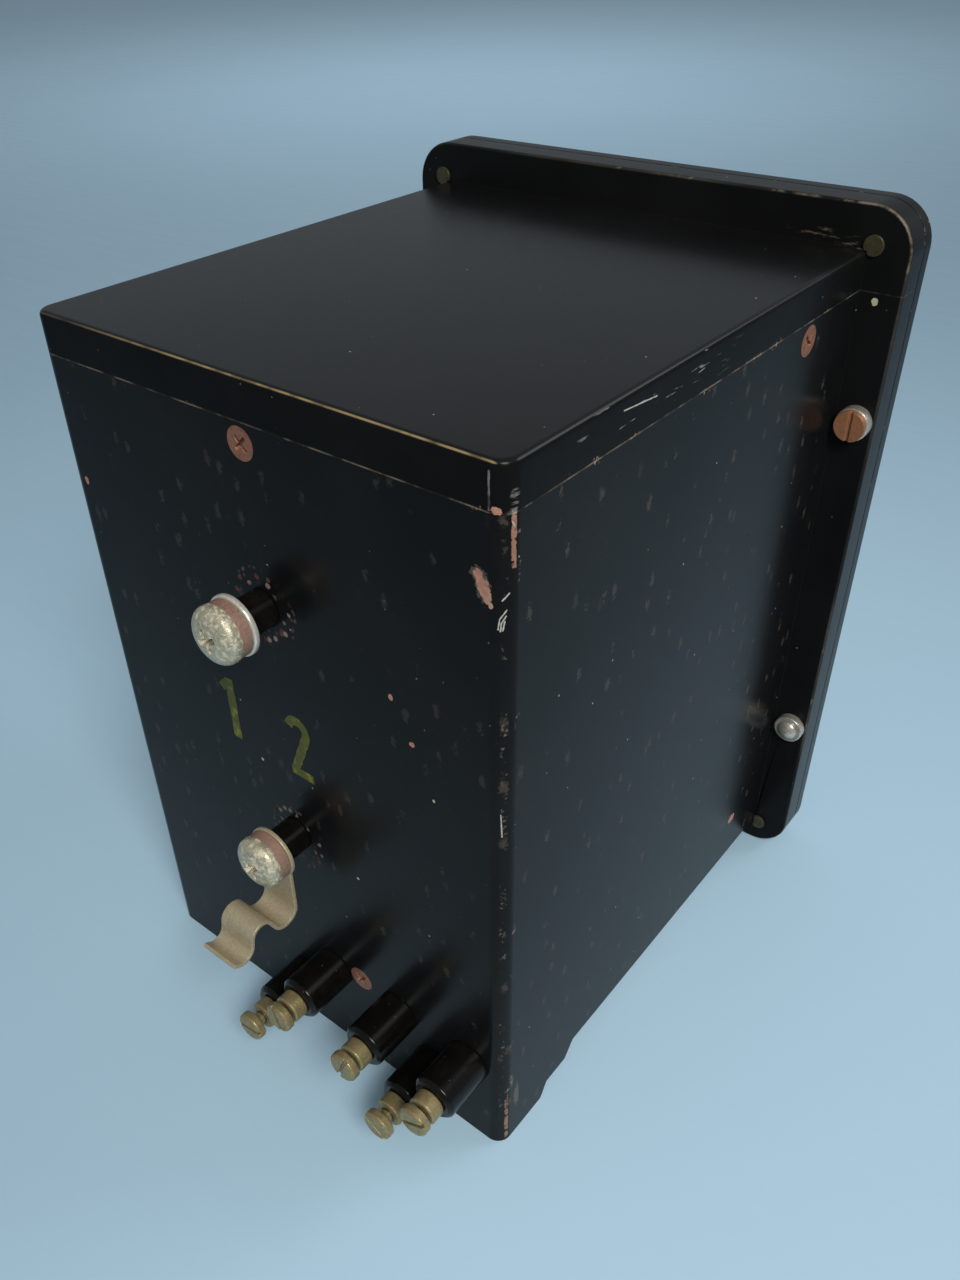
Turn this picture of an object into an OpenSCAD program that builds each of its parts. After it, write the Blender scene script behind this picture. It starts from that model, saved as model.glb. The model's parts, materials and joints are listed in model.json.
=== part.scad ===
// Flush-mounting breaker panel box with back terminals.
// Origin: centre of the four panel studs, on the rear face of the flange.
// +Y points to the terminal wall, -Y to the door, +Z up.

/* [Case] */
// Width of the case body
case_w = 145; // [140:1:150]
// Depth of the case body behind the flange
case_d = 161; // [156:1:170]
// Thickness of the sheet steel
sheet = 1.6; // [1.2:0.1:2]
// Outside radius of the upright folds at the terminal wall
fold_r = 4.5; // [4:0.5:6]
// Height of the top cover's skirt
skirt_h = 10.5; // [9:0.5:12]
// How far the terminal wall runs below the bottom pan
foot_h = 10.8; // [8:0.1:12]

/* [Flange] */
// Width of the flange
flange_w = 168.6; // [167:0.1:171]
// Height of the flange
flange_h = 232.2; // [230:0.1:236]
// Radius of the flange's corners
flange_r = 12.5; // [10:0.5:15]
// Depth of the flange's rim, in front of the panel seat
rim_d = 9.4; // [9:0.1:10]
// Sideways spacing of the panel studs
stud_dx = 157.5; // [157.3:0.1:158]
// Upright spacing of the panel studs
stud_dz = 114.3; // [112:0.1:116]
// Radius of the collar round each panel stud
collar_r = 5; // [4.8:0.1:5]

/* [Line terminals] */
// Upright spacing of the two line terminals
line_dz = 76.2; // [75:0.1:78]
// Depth of the upper line terminal below the case top
line_drop = 58.5; // [57:0.5:60]
// Radius of a line terminal's bushing
line_bush_r = 5.2; // [5:0.1:5.6]
// How far the line bushings stand out
line_bush_l = 8.9; // [8:0.1:10]
// Radius of the line screws' shank, 5/16 inch
line_shank_r = 3.97; // [3.9:0.01:4]
// Radius of the line screws' pan head
line_head_r = 7.8; // [7.4:0.1:8]
// Width of the spring clip's strap
clip_w = 12.8; // [11:0.1:13.5]
// Thickness of the spring clip's strap
clip_t = 1.2; // [0.8:0.1:1.5]

/* [Control terminals] */
// Sideways pitch of the upper control terminals
ctrl_dx = 26.2; // [25.4:0.1:26.6]
// Radius of a control bushing
ctrl_bush_r = 6.85; // [6.5:0.05:7]
// How far the control bushings stand out
ctrl_bush_l = 16.1; // [15:0.1:18]
// Radius of the control studs
ctrl_stud_r = 2.4; // [2.3:0.1:2.5]
// Radius of the round brass nuts
ctrl_nut_r = 4.4; // [4:0.1:4.6]
// Radius of the brass binding screws' heads
ctrl_head_r = 4.7; // [4.4:0.1:5]

/* [Door] */
// Depth of the door's rim
door_d = 5.5; // [5.4:0.1:6]
// Width of the window
window_w = 114; // [100:1:116]
// Height of the window
window_h = 156; // [140:1:158]
// Thickness of the glass
glass_t = 2.5; // [2:0.1:2.6]

/* [Hidden] */
$fn = 48;
eps = 0.02;
flange_top = flange_h / 2;
floor_z = -flange_top;
overhang = (flange_w - case_w) / 2;
half_w = case_w / 2;
case_top = flange_top - overhang;
pan_z = floor_z + foot_h;
seam_z = case_top - skirt_h;
inner_y = case_d - sheet;
tongue_t = 2;
tongue_gap = 0.15;
tongue_z = case_top - 22;
cover_screw_z = case_top - 15.8;
side_screw_y = 30.7;
low_screw_x = 19.7;
low_screw_z = -80.2;
csk_r = 4.2;
csk_d = 2.1;
screw_r = 2;
screw_l = 8;
plug_x = half_w + 1.5;
plug_top_z = case_top + 1.5;
plug_low_z = pan_z - 1.5;
plug_r = 2.8;
upper_boss_h = 3.4;
lower_boss_h = 3;
boss_hole_r = 1.5;
boss_hole_l = 1.2;

line_a_z = case_top - line_drop;
line_b_z = line_a_z - line_dz;
line_head_h = 4.9;
line_end_y = case_d + line_bush_l;
washer_t = 1.5;
washer_r = 8.2;
lock_t = 3.3;
lock_r = 7.6;
head_a_y = line_end_y + washer_t + lock_t;
head_b_y = line_end_y + clip_t + lock_t;

ctrl_top_z = -83;
ctrl_low_z = -97.1;
ctrl_left_x = -60.8;
ctrl_at = [
    [ctrl_left_x, ctrl_top_z], [ctrl_left_x + ctrl_dx, ctrl_top_z],
    [ctrl_left_x + 2 * ctrl_dx, ctrl_top_z],
    [ctrl_left_x + ctrl_dx / 2, ctrl_low_z], [ctrl_left_x + 2.5 * ctrl_dx, ctrl_low_z]];
ctrl_loose = [0.2, 0, 0.1, 1.4, 1.5];
ctrl_end_y = case_d + ctrl_bush_l;
ctrl_nut_h = 4.7;
ctrl_head_h = 3;

base_t = 12;
base_back = inner_y - 0.2;
base_y = base_back - base_t;
base_low = pan_z + sheet + 1.3;
base_top = 80;
block_t = 10;
block_y = base_y - block_t;
block_w = 22;

pivot_y = 112;
pivot_z = 4;
pivot_r = 3;
blade_t = 5;
side_gap = 0.3;
run_gap = 0.05;
lever_tilt = -14.7;

coil_y = 98;
coil_low = -87;
coil_top = -48;
coil_r = 19.5;
core_r = 7;
yoke_w = 28;
yoke_t = 5;
yoke_y = 122;
arm_pin_y = 124.5;
arm_pin_z = -37.5;
arm_pin_r = 1.5;
flag_y = 66;
flag_z = -44;

door_y = -rim_d - 0.3;
door_front = door_y - door_d;
window_z = 14;
glass_lap = 4;
hinge_x = flange_w / 2 + 2.9;
hinge_r = 2.6;
hinge_pin_r = 1.25;
hinge_zs = [-70, 70];
hinge_l = 30;
latch_x = -70;
reset_z = -88;

// ---- helpers ----

module block(x0, x1, y0, y1, z0, z1) {
    translate([x0, y0, z0]) cube([x1 - x0, y1 - y0, z1 - z0]);
}

module rod_x(y, z, r, x0, x1) {
    translate([x0, y, z]) rotate([0, 90, 0]) cylinder(r = r, h = x1 - x0);
}

module rod_y(x, z, r, y0, y1) {
    translate([x, y0, z]) rotate([-90, 0, 0]) cylinder(r = r, h = y1 - y0);
}

module rod_z(x, y, r, z0, z1) {
    translate([x, y, z0]) cylinder(r = r, h = z1 - z0);
}

// Extrudes an outline drawn in X and Z along Y
module along_y(y0, y1) {
    translate([0, y1, 0]) rotate([90, 0, 0]) linear_extrude(y1 - y0) children();
}

// Extrudes an outline drawn in Y and Z along X
module along_x(x0, x1) {
    translate([x0, 0, 0]) rotate([90, 0, 90]) linear_extrude(x1 - x0) children();
}

// Turns a profile of radius and height about the Y axis through x, z
module turned_y(x, y, z) {
    translate([x, y, z]) rotate([-90, 0, 0]) rotate_extrude() children();
}

module round_rect(w, h, r) {
    square([w, h - 2 * r], center = true);
    square([w - 2 * r, h], center = true);
    for (sx = [-1, 1], sz = [-1, 1]) translate([sx * (w / 2 - r), sz * (h / 2 - r)]) circle(r);
}

module flange_plan(inset = 0) {
    round_rect(flange_w - 2 * inset, flange_h - 2 * inset, flange_r - inset);
}

// Plan of the case body, open at the front, drawn in X and Y
module case_plan(inset = 0) {
    w = half_w - inset;
    d = case_d - inset;
    r = fold_r - inset;
    translate([-w, 0]) square([2 * w, d - r]);
    translate([r - w, 0]) square([2 * (w - r), d]);
    for (s = [-1, 1]) translate([s * (w - r), d - r]) circle(r);
}

module case_prism(inset, z0, z1) {
    translate([0, 0, z0]) linear_extrude(z1 - z0) case_plan(inset);
}

// Countersunk screw seen as a solid, head at y = 0 and shank along -Y
module flat_screw(grow = 0) {
    rotate([90, 0, 0]) {
        cylinder(r1 = csk_r + grow, r2 = screw_r + grow, h = csk_d);
        cylinder(r = screw_r + grow, h = screw_l + grow);
    }
}

module at_case_screws() {
    translate([0, case_d, cover_screw_z]) children();
    for (s = [-1, 1]) translate([s * low_screw_x, case_d, low_screw_z]) children();
    for (s = [-1, 1]) translate([s * half_w, side_screw_y, cover_screw_z]) rotate([0, 0, -s * 90]) children();
}

module at_panel_studs(row) {
    for (s = [-1, 1]) translate([s * stud_dx / 2, 0, row * stud_dz / 2]) children();
}

module at_corner_plugs() {
    for (s = [-1, 1], z = [plug_low_z, plug_top_z]) translate([s * plug_x, 0, z]) children();
}

module at_line_terminals() {
    for (z = [line_a_z, line_b_z]) translate([0, 0, z]) children();
}

module at_control_terminals() {
    for (i = [0 : len(ctrl_at) - 1]) translate([ctrl_at[i][0], 0, ctrl_at[i][1]]) children();
}

// A wire of radius wr wound n turns about Z, from z = 0 to z = h
function coil_points(r, h, n, wr, steps, sides) = [
    for (i = [0 : steps], j = [0 : sides - 1])
        let (a = 360 * n * i / steps, b = 360 * j / sides, q = r + wr * cos(b))
        [q * cos(a), q * sin(a), wr + (h - 2 * wr) * i / steps + wr * sin(b)]];
function coil_faces(steps, sides) = concat(
    [[for (j = [0 : sides - 1]) j]],
    [[for (j = [0 : sides - 1]) steps * sides + sides - 1 - j]],
    [for (i = [0 : steps - 1], j = [0 : sides - 1])
        let (k = (j + 1) % sides, a = i * sides, b = a + sides) [a + j, b + j, b + k, a + k]]);

module wound_spring(r, h, n, wr) {
    steps = n * 14;
    sides = 6;
    polyhedron(coil_points(r, h, n, wr, steps, sides), coil_faces(steps, sides));
}

// ---- case ----

// Sheet rim and seat of the flange, between two heights
module flange_tray(z0, z1) {
    intersection() {
        difference() {
            along_y(-rim_d, 0) flange_plan();
            along_y(-rim_d - 1, -sheet) flange_plan(sheet);
            block(sheet - half_w, half_w - sheet, -sheet - 1, 1, pan_z + sheet, case_top - sheet);
        }
        block(-flange_w, flange_w, -rim_d - 1, 1, z0, z1);
    }
}

// Terminal wall and side feet below the bottom pan
module foot_skirt() {
    step_z = floor_z + 5.3;
    difference() {
        case_prism(0, floor_z, pan_z + eps);
        case_prism(sheet, floor_z - 1, pan_z + 1);
        along_x(-half_w - 1, half_w + 1)
            polygon([[-1, floor_z - 1], [140.8, floor_z - 1], [140.8, floor_z], [137.8, step_z],
                [128, step_z], [124, pan_z], [124, pan_z + 1], [-1, pan_z + 1]]);
    }
}

module case_shell() {
    color([0.05, 0.05, 0.06])
    difference() {
        union() {
            difference() {
                case_prism(0, pan_z, seam_z);
                case_prism(sheet, pan_z + sheet, seam_z + 1);
            }
            foot_skirt();
            flange_tray(floor_z, seam_z);
        }
        block(sheet - half_w, half_w - sheet, -1, 1, pan_z + sheet, seam_z + 1);
        at_line_terminals() rod_y(0, 0, line_bush_r - 0.1, inner_y - 1, case_d + 1);
        at_control_terminals() rod_y(0, 0, 5.6, inner_y - 1, case_d + 1);
        at_case_screws() flat_screw(0.05);
        at_corner_plugs() rod_y(0, 0, 2.05, -sheet - 1, eps);
        for (row = [-1, 1]) at_panel_studs(row) rod_y(0, 0, 2.55, -sheet - 1, 1);
    }
}

module top_cover() {
    color([0.06, 0.06, 0.07])
    difference() {
        union() {
            difference() {
                case_prism(0, seam_z, case_top);
                case_prism(sheet, seam_z - 1, case_top - sheet);
            }
            difference() {
                union() {
                    case_prism(sheet - eps, seam_z, case_top - sheet + eps);
                    case_prism(sheet + tongue_gap, tongue_z, seam_z + eps);
                }
                case_prism(sheet + tongue_t, tongue_z - 1, case_top - sheet);
            }
            flange_tray(seam_z, flange_top + 1);
        }
        block(sheet + tongue_t - half_w, half_w - sheet - tongue_t, -1, 1, tongue_z - 1, case_top - sheet);
        at_case_screws() flat_screw(0.05);
        at_corner_plugs() rod_y(0, 0, 2.05, -sheet - 1, eps);
    }
}

module case_screws() {
    color([0.55, 0.3, 0.2])
    at_case_screws() difference() {
        flat_screw();
        for (a = [45, 135]) rotate([0, a, 0]) block(-2.3, 2.3, -1.3, 1, -0.45, 0.45);
    }
}

module corner_plugs() {
    color([0.5, 0.42, 0.2])
    difference() {
        at_corner_plugs() {
            rod_y(0, 0, plug_r, 0, 0.9);
            rod_y(0, 0, 2, -sheet, 0.1);
            rod_y(0, 0, plug_r, -sheet - 1, -sheet);
        }
        case_prism(0, floor_z, case_top);
    }
}

// Solid boss riveted through the flange, with a blind hole for what is screwed into it
module panel_boss(h) {
    difference() {
        union() {
            turned_y(0, 0, 0)
                polygon([[0, 0], [collar_r, 0], [collar_r, h - 0.3], [collar_r - 0.3, h], [0, h]]);
            rod_y(0, 0, 2.5, -sheet, eps);
            rod_y(0, 0, 3.6, -sheet - 1.2, -sheet);
        }
        rod_y(0, 0, boss_hole_r + 0.05, h - boss_hole_l, h + 1);
    }
}

module upper_collars() {
    color([0.75, 0.73, 0.68])
    at_panel_studs(1) panel_boss(upper_boss_h);
}

module upper_studs() {
    color([0.6, 0.36, 0.26])
    at_panel_studs(1) difference() {
        union() {
            rod_y(0, 0, 4.6, upper_boss_h, upper_boss_h + 1.6);
            rod_y(0, 0, boss_hole_r, upper_boss_h - boss_hole_l + 0.1, upper_boss_h + eps);
        }
        block(-0.5, 0.5, upper_boss_h + 0.8, 8, -6, 6);
    }
}

module lower_collars() {
    color([0.72, 0.7, 0.64])
    at_panel_studs(-1) panel_boss(lower_boss_h);
}

module lower_studs() {
    dome_r = 4.6;
    color([0.8, 0.78, 0.72])
    at_panel_studs(-1) {
        intersection() {
            rod_y(0, 0, 3.4, lower_boss_h, 6);
            translate([0, 5.2 - dome_r, 0]) sphere(dome_r);
        }
        rod_y(0, 0, boss_hole_r, lower_boss_h - boss_hole_l + 0.1, lower_boss_h + eps);
    }
}

// ---- line terminals ----

module line_bushings() {
    bore = line_shank_r + 0.05;
    color([0.04, 0.04, 0.04])
    at_line_terminals() turned_y(0, base_back, 0)
        polygon([[bore, 0], [line_bush_r - 0.2, 0], [line_bush_r - 0.2, case_d - base_back],
            [line_bush_r, case_d - base_back], [line_bush_r, line_end_y - base_back - 0.6],
            [line_bush_r - 0.6, line_end_y - base_back], [bore, line_end_y - base_back]]);
}

// Pan head with a cross recess, seated at y = y0
module pan_screw(y0, y_tip) {
    cap_h = line_head_h - 1.6;
    dome_r = (line_head_r * line_head_r + cap_h * cap_h) / (2 * cap_h);
    difference() {
        intersection() {
            rod_y(0, 0, line_head_r, y0, y0 + line_head_h);
            translate([0, y0 + line_head_h - dome_r, 0]) sphere(dome_r, $fn = 96);
        }
        for (a = [20, 110]) rotate([0, a, 0]) block(-3.5, 3.5, y0 + 2.7, y0 + 6, -0.8, 0.8);
    }
    rod_y(0, 0, line_shank_r, y_tip, y0 + eps);
}

module line_screws() {
    color([0.62, 0.61, 0.55]) {
        translate([0, 0, line_a_z]) pan_screw(head_a_y, block_y + 2);
        translate([0, 0, line_b_z]) pan_screw(head_b_y, block_y + 2);
    }
}

module line_washer() {
    color([0.75, 0.76, 0.72])
    turned_y(0, line_end_y, line_a_z)
        polygon([[4.3, 0], [washer_r, 0], [washer_r, washer_t - 0.3], [washer_r - 0.3, washer_t],
            [4.3, washer_t]]);
}

module lock_washer() {
    difference() {
        rod_y(0, 0, lock_r, 0, lock_t);
        rod_y(0, 0, 4.15, -1, lock_t + 1);
        rotate([0, 35, 0]) block(3, 9, -1, lock_t + 1, -0.5, 0.5);
    }
}

module lock_washers() {
    color([0.45, 0.33, 0.25]) {
        translate([0, line_end_y + washer_t, line_a_z]) lock_washer();
        translate([0, line_end_y + clip_t, line_b_z]) lock_washer();
    }
}

// Wave of the spring clip: straight runs [0, length, 0] and arcs [radius, 0, turn]
clip_moves = [[0, 17.9, 0], [4.2, 0, 155], [0, 3.4, 0], [3.6, 0, -145], [0, 2.6, 0],
    [3.6, 0, 115], [0, 2, 0]];
arc_steps = 20;

function walk_arc(p, heading, r, turn) = let (s = turn > 0 ? 1 : -1,
    c = p + r * [cos(heading + s * 90), sin(heading + s * 90)])
    [for (i = [1 : arc_steps]) let (a = heading + turn * i / arc_steps)
        [c + r * [cos(a - s * 90), sin(a - s * 90)], a]];
function walk(p, heading, i) = i >= len(clip_moves) ? [] :
    let (m = clip_moves[i],
        run = m[0] > 0 ? walk_arc(p, heading, m[0], m[2])
            : [[p + m[1] * [cos(heading), sin(heading)], heading]],
        last = run[len(run) - 1])
    concat(run, walk(last[0], last[1], i + 1));
clip_start = [line_end_y + clip_t / 2, line_b_z];
clip_path = concat([[clip_start, -90]], walk(clip_start, -90, 0));
function clip_side(s) = [for (q = clip_path) q[0] + s * clip_t / 2 * [cos(q[1] + 90), sin(q[1] + 90)]];
function reversed(v) = [for (i = [len(v) - 1 : -1 : 0]) v[i]];

module spring_clip() {
    eye_r = 8;
    color([0.6, 0.57, 0.47])
    difference() {
        union() {
            rod_y(0, line_b_z, eye_r, line_end_y, line_end_y + clip_t);
            along_x(-clip_w / 2, clip_w / 2) polygon(concat(clip_side(1), reversed(clip_side(-1))));
        }
        rod_y(0, line_b_z, line_shank_r + 0.3, line_end_y - 1, line_end_y + 5);
    }
}

// ---- control terminals ----

module control_bushings() {
    bore = ctrl_stud_r + 0.05;
    wall = case_d - base_back;
    tip = ctrl_end_y - base_back;
    color([0.03, 0.03, 0.03])
    at_control_terminals() turned_y(0, base_back, 0)
        polygon([[bore, 0], [5.5, 0], [5.5, wall], [ctrl_bush_r, wall], [ctrl_bush_r, tip - 1],
            [ctrl_bush_r - 1, tip], [bore, tip]]);
}

module control_studs() {
    tip_y = ctrl_end_y + ctrl_nut_h + 0.2;
    color([0.62, 0.54, 0.3])
    at_control_terminals() difference() {
        union() {
            rod_y(0, 0, ctrl_stud_r, base_y - 9, tip_y);
            rod_y(0, 0, 4, base_y - 2, base_y);
        }
        rod_y(0, 0, 1.95, ctrl_end_y - 2, tip_y + 1);
    }
}

module control_nuts() {
    h = ctrl_nut_h;
    r = ctrl_nut_r;
    color([0.66, 0.58, 0.34])
    at_control_terminals() turned_y(0, ctrl_end_y, 0)
        polygon([[ctrl_stud_r + 0.05, 0], [r - 0.4, 0], [r, 0.4], [r, h - 0.5], [r - 0.5, h],
            [ctrl_stud_r + 0.05, h]]);
}

module control_screws() {
    color([0.68, 0.6, 0.36])
    for (i = [0 : len(ctrl_at) - 1])
        translate([ctrl_at[i][0], ctrl_end_y + ctrl_nut_h + 0.9 + ctrl_loose[i], ctrl_at[i][1]])
            difference() {
                union() {
                    turned_y(0, 0, 0)
                        polygon([[0, 0], [ctrl_head_r - 0.3, 0], [ctrl_head_r, 0.3],
                            [ctrl_head_r, ctrl_head_h - 0.7], [ctrl_head_r - 0.7, ctrl_head_h],
                            [0, ctrl_head_h]]);
                    rod_y(0, 0, 1.9, -5.2, eps);
                }
                rotate([0, 30 + 40 * i, 0]) block(-6, 6, ctrl_head_h - 1, 4, -0.55, 0.55);
            }
}

// ---- base and contacts ----

module base_panel() {
    color([0.16, 0.1, 0.06])
    difference() {
        block(-64, 64, base_y, base_back, base_low, base_top);
        at_line_terminals() rod_y(0, 0, line_shank_r + 0.05, base_y - 1, base_back + 1);
        at_control_terminals() rod_y(0, 0, ctrl_stud_r + 0.05, base_y - 1, base_back + 1);
        at_case_screws() flat_screw(0.05);
        at_block_screws() rod_y(0, 0, 1.52, -1, 6);
    }
}

module fixed_jaw() {
    color([0.72, 0.42, 0.26])
    difference() {
        union() {
            block(-block_w / 2, block_w / 2, block_y, base_y, line_a_z - 12, line_a_z + 12);
            for (s = [-1, 1]) translate([s * (blade_t / 2 + side_gap + 0.8), 0, 0])
                block(-0.8, 0.8, block_y - 16, block_y + eps, line_a_z - 8, line_a_z + 8);
        }
        rod_y(0, line_a_z, line_shank_r + 0.03, block_y - 1, base_y + 1);
    }
}

module hinge_jaw() {
    color([0.72, 0.42, 0.26])
    difference() {
        union() {
            block(-block_w / 2, block_w / 2, block_y, base_y, pivot_z - 12, pivot_z + 12);
            for (s = [-1, 1]) translate([s * (blade_t / 2 + side_gap + 1.2), 0, 0]) {
                block(-1.2, 1.2, pivot_y, block_y + eps, pivot_z - 8, pivot_z + 8);
                rod_x(pivot_y, pivot_z, 8, -1.2, 1.2);
            }
        }
        rod_x(pivot_y, pivot_z, pivot_r + 0.02, -20, 20);
        for (s = [-1, 1]) rod_y(s * 8, pivot_z, 1.52, block_y - 1, base_y + 1);
    }
}

module terminal_block() {
    color([0.72, 0.42, 0.26])
    difference() {
        block(-block_w / 2, block_w / 2, block_y, base_y, line_b_z - 11, line_b_z + 11);
        rod_y(0, line_b_z, line_shank_r + 0.03, block_y - 1, base_y + 1);
    }
}

// Mouths of the small screws' holes in the base panel
module at_block_screws() {
    for (x = [-8, 8]) translate([x, base_y, pivot_z]) children();
    for (x = [-55, -37]) translate([x, base_y, -56.5]) children();
}

module small_screw(grip) {
    difference() {
        union() {
            rod_y(0, 0, 2.6, -grip - 2, -grip);
            rod_y(0, 0, 1.5, -grip - eps, 5.5);
        }
        block(-3, 3, -grip - 3, -grip - 1.2, -0.4, 0.4);
    }
}

module block_screws() {
    color([0.7, 0.68, 0.6]) {
        for (x = [-8, 8]) translate([x, base_y, pivot_z]) small_screw(block_t);
        for (x = [-55, -37]) translate([x, base_y, -56.5]) small_screw(18);
    }
}

module pivot_pin() {
    color([0.7, 0.7, 0.7]) {
        rod_x(pivot_y, pivot_z, pivot_r, -7.5, 7.5);
        for (s = [-1, 1]) rod_x(pivot_y, pivot_z, 4.2, s * 6.6 - 1.1, s * 6.6 + 1.1);
    }
}

module switch_blade() {
    color([0.75, 0.45, 0.28])
    difference() {
        union() {
            rod_x(pivot_y, pivot_z, 8, -blade_t / 2, blade_t / 2);
            along_x(-blade_t / 2, blade_t / 2)
                polygon([
                    [pivot_y - 8, pivot_z], [pivot_y + 7, pivot_z - 3],
                    [135, 40], [135, 50], [123, 50]
                ]);
            translate([0, pivot_y, pivot_z]) rotate([lever_tilt, 0, 0])
                block(-blade_t / 2, blade_t / 2, -28, -6, -4, 4);
        }
        rod_x(pivot_y, pivot_z, pivot_r + run_gap, -10, 10);
    }
}

module handle_lever() {
    color([0.3, 0.3, 0.32])
    translate([0, pivot_y, pivot_z]) rotate([lever_tilt, 0, 0]) {
        difference() {
            block(-5.5, 5.5, -60, -18, -5, 5);
            block(-blade_t / 2, blade_t / 2, -28, -17, -6, 6);
        }
        rod_y(0, 0, 3.5, -80, -60 + eps);
    }
}

module handle_grip() {
    color([0.05, 0.04, 0.04])
    translate([0, pivot_y, pivot_z]) rotate([lever_tilt, 0, 0]) turned_y(0, -88, 0)
        polygon([[0, 0], [4, 0], [6.6, 1.4], [7.6, 4.5], [7.2, 9], [5.6, 17], [5.6, 25], [6.6, 28],
            [3.52, 28], [3.52, 8], [0, 8]]);
}

// ---- trip magnet ----

module magnet_yoke() {
    w = yoke_w / 2;
    ear = 11.3;
    color([0.35, 0.35, 0.37])
    difference() {
        union() {
            block(-w, w, yoke_y, yoke_y + yoke_t, coil_low - yoke_t, -43);
            block(-w, w, 84, yoke_y + eps, coil_low - yoke_t, coil_low);
            for (s = [-1, 1]) translate([s * (w + ear) / 2, 0, 0]) {
                block(ear / 2 - w / 2, w / 2 - ear / 2, yoke_y - 1, yoke_y + 7, -43 - eps, -33.5);
            }
            for (s = [-1, 1]) translate([s * 11, 0, 0])
                block(-3, 3, yoke_y + yoke_t - eps, base_y, -60, -54);
            rod_y(0, -65, 1.2, yoke_y + yoke_t - eps, 134);
        }
        rod_x(arm_pin_y, arm_pin_z, arm_pin_r + 0.02, -20, 20);
    }
}

module magnet_core() {
    color([0.55, 0.55, 0.56])
    rod_z(0, coil_y, core_r, coil_low, -46.2);
}

module coil_former() {
    color([0.5, 0.16, 0.08])
    difference() {
        union() {
            rod_z(0, coil_y, coil_r + 1, coil_low, coil_low + 2);
            rod_z(0, coil_y, coil_r + 1, coil_top - 2, coil_top);
            rod_z(0, coil_y, 9, coil_low, coil_top);
        }
        rod_z(0, coil_y, core_r + 0.05, coil_low - 1, coil_top + 1);
    }
}

module trip_coil() {
    color([0.7, 0.36, 0.18])
    difference() {
        union() {
            rod_z(0, coil_y, coil_r, coil_low + 2, coil_top - 2);
            block(-21, 21, coil_y - 4, coil_y + 4, -66, -60);
        }
        rod_z(0, coil_y, 9.1, coil_low - 1, coil_top + 1);
    }
}

module bus_straps() {
    color([0.75, 0.45, 0.28])
    for (s = [-1, 1]) {
        z_tie = s > 0 ? pivot_z : line_b_z;
        x0 = s > 0 ? 11 : -27;
        translate([x0, 0, 0]) block(0, 16, base_y - 4, base_y, z_tie - 4, z_tie + 4);
        translate([s * 24, 0, 0]) {
            block(-3, 3, base_y - 4, base_y, -66, z_tie);
            block(-3, 3, coil_y - 4, base_y - 4 + eps, -66, -60);
        }
    }
}

module armature() {
    color([0.5, 0.5, 0.52])
    difference() {
        union() {
            block(-11, 11, 74.5, 133, -41.5, -38.5);
            rod_x(arm_pin_y, arm_pin_z, 3, -11, 11);
        }
        rod_x(arm_pin_y, arm_pin_z, arm_pin_r + run_gap, -20, 20);
    }
}

module armature_pin() {
    color([0.75, 0.75, 0.75])
    rod_x(arm_pin_y, arm_pin_z, arm_pin_r, -15, 15);
}

module armature_spring() {
    color([0.7, 0.7, 0.7])
    translate([0, 130.8, -63.6]) wound_spring(2.2, 21, 9, 0.4);
}

module flag_bracket() {
    color([0.6, 0.55, 0.35])
    difference() {
        union() {
            block(-13.5, 13.5, 62, 84, coil_low - yoke_t, coil_low - yoke_t + 2);
            for (s = [-1, 1]) translate([s * 12.75, 0, 0])
                block(-0.75, 0.75, 62, 70, coil_low - yoke_t, flag_z + 4);
        }
        rod_x(flag_y, flag_z, 1.02, -20, 20);
    }
}

module flag_pin() {
    color([0.75, 0.75, 0.75])
    rod_x(flag_y, flag_z, 1, -14.5, 14.5);
}

module target_flag() {
    color([0.9, 0.4, 0.1])
    difference() {
        union() {
            rod_x(flag_y, flag_z, 2, -11.6, 11.6);
            block(-11, 11, flag_y - 0.8, flag_y + 0.8, flag_z - 25, flag_z);
            block(-3, 3, flag_y, flag_y + 11.2, flag_z - 1, flag_z + 1);
        }
        rod_x(flag_y, flag_z, 1 + run_gap, -20, 20);
    }
}

// ---- auxiliary contacts ----

module aux_block() {
    color([0.2, 0.12, 0.07])
    difference() {
        block(-58, -34, base_y - 18, base_y, -60, -36);
        for (x = [-55, -37]) rod_y(x, -56.5, 1.52, base_y - 19, base_y + 1);
    }
}

module aux_leaves() {
    tip_y = 101;
    color([0.72, 0.55, 0.32])
    for (x = [-53.5, -46, -38.5], s = [-1, 1]) {
        z = -46.5 + s * 3;
        block(x - 2.5, x + 2.5, tip_y, base_y - 18, z - 0.3, z + 0.3);
        rod_z(x, tip_y + 4, 1.6, s > 0 ? z - 2.3 : z + 0.3 - eps, s > 0 ? z - 0.3 + eps : z + 2.3);
    }
}

// Wire of square bends, from a lug on a stud up to the auxiliary block
module link(i, y, z_turn, x_end) {
    x = ctrl_at[i][0];
    z = ctrl_at[i][1];
    difference() {
        rod_y(x, z, 4.2, y - 0.6, y + 0.6);
        rod_y(x, z, ctrl_stud_r + 0.05, y - 2, y + 2);
    }
    rod_z(x, y, 0.9, z + 4, z_turn);
    translate([x, y, z_turn]) sphere(0.9);
    rod_x(y, z_turn, 0.9, min(x, x_end), max(x, x_end));
    translate([x_end, y, z_turn]) sphere(0.9);
    rod_z(x_end, y, 0.9, z_turn, -60);
}

module control_links() {
    near_y = base_y - 5.6;
    far_y = base_y - 3;
    color([0.3, 0.05, 0.05]) {
        link(0, near_y, -66, -56);
        link(1, near_y, -70, -36);
        link(2, far_y, -72, -44);
        link(3, near_y, -70, -48);
        link(4, far_y, -69, -40);
    }
}

// ---- door ----

module window_plan(grow = 0) {
    translate([0, window_z]) round_rect(window_w + 2 * grow, window_h + 2 * grow, 4);
}

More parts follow.
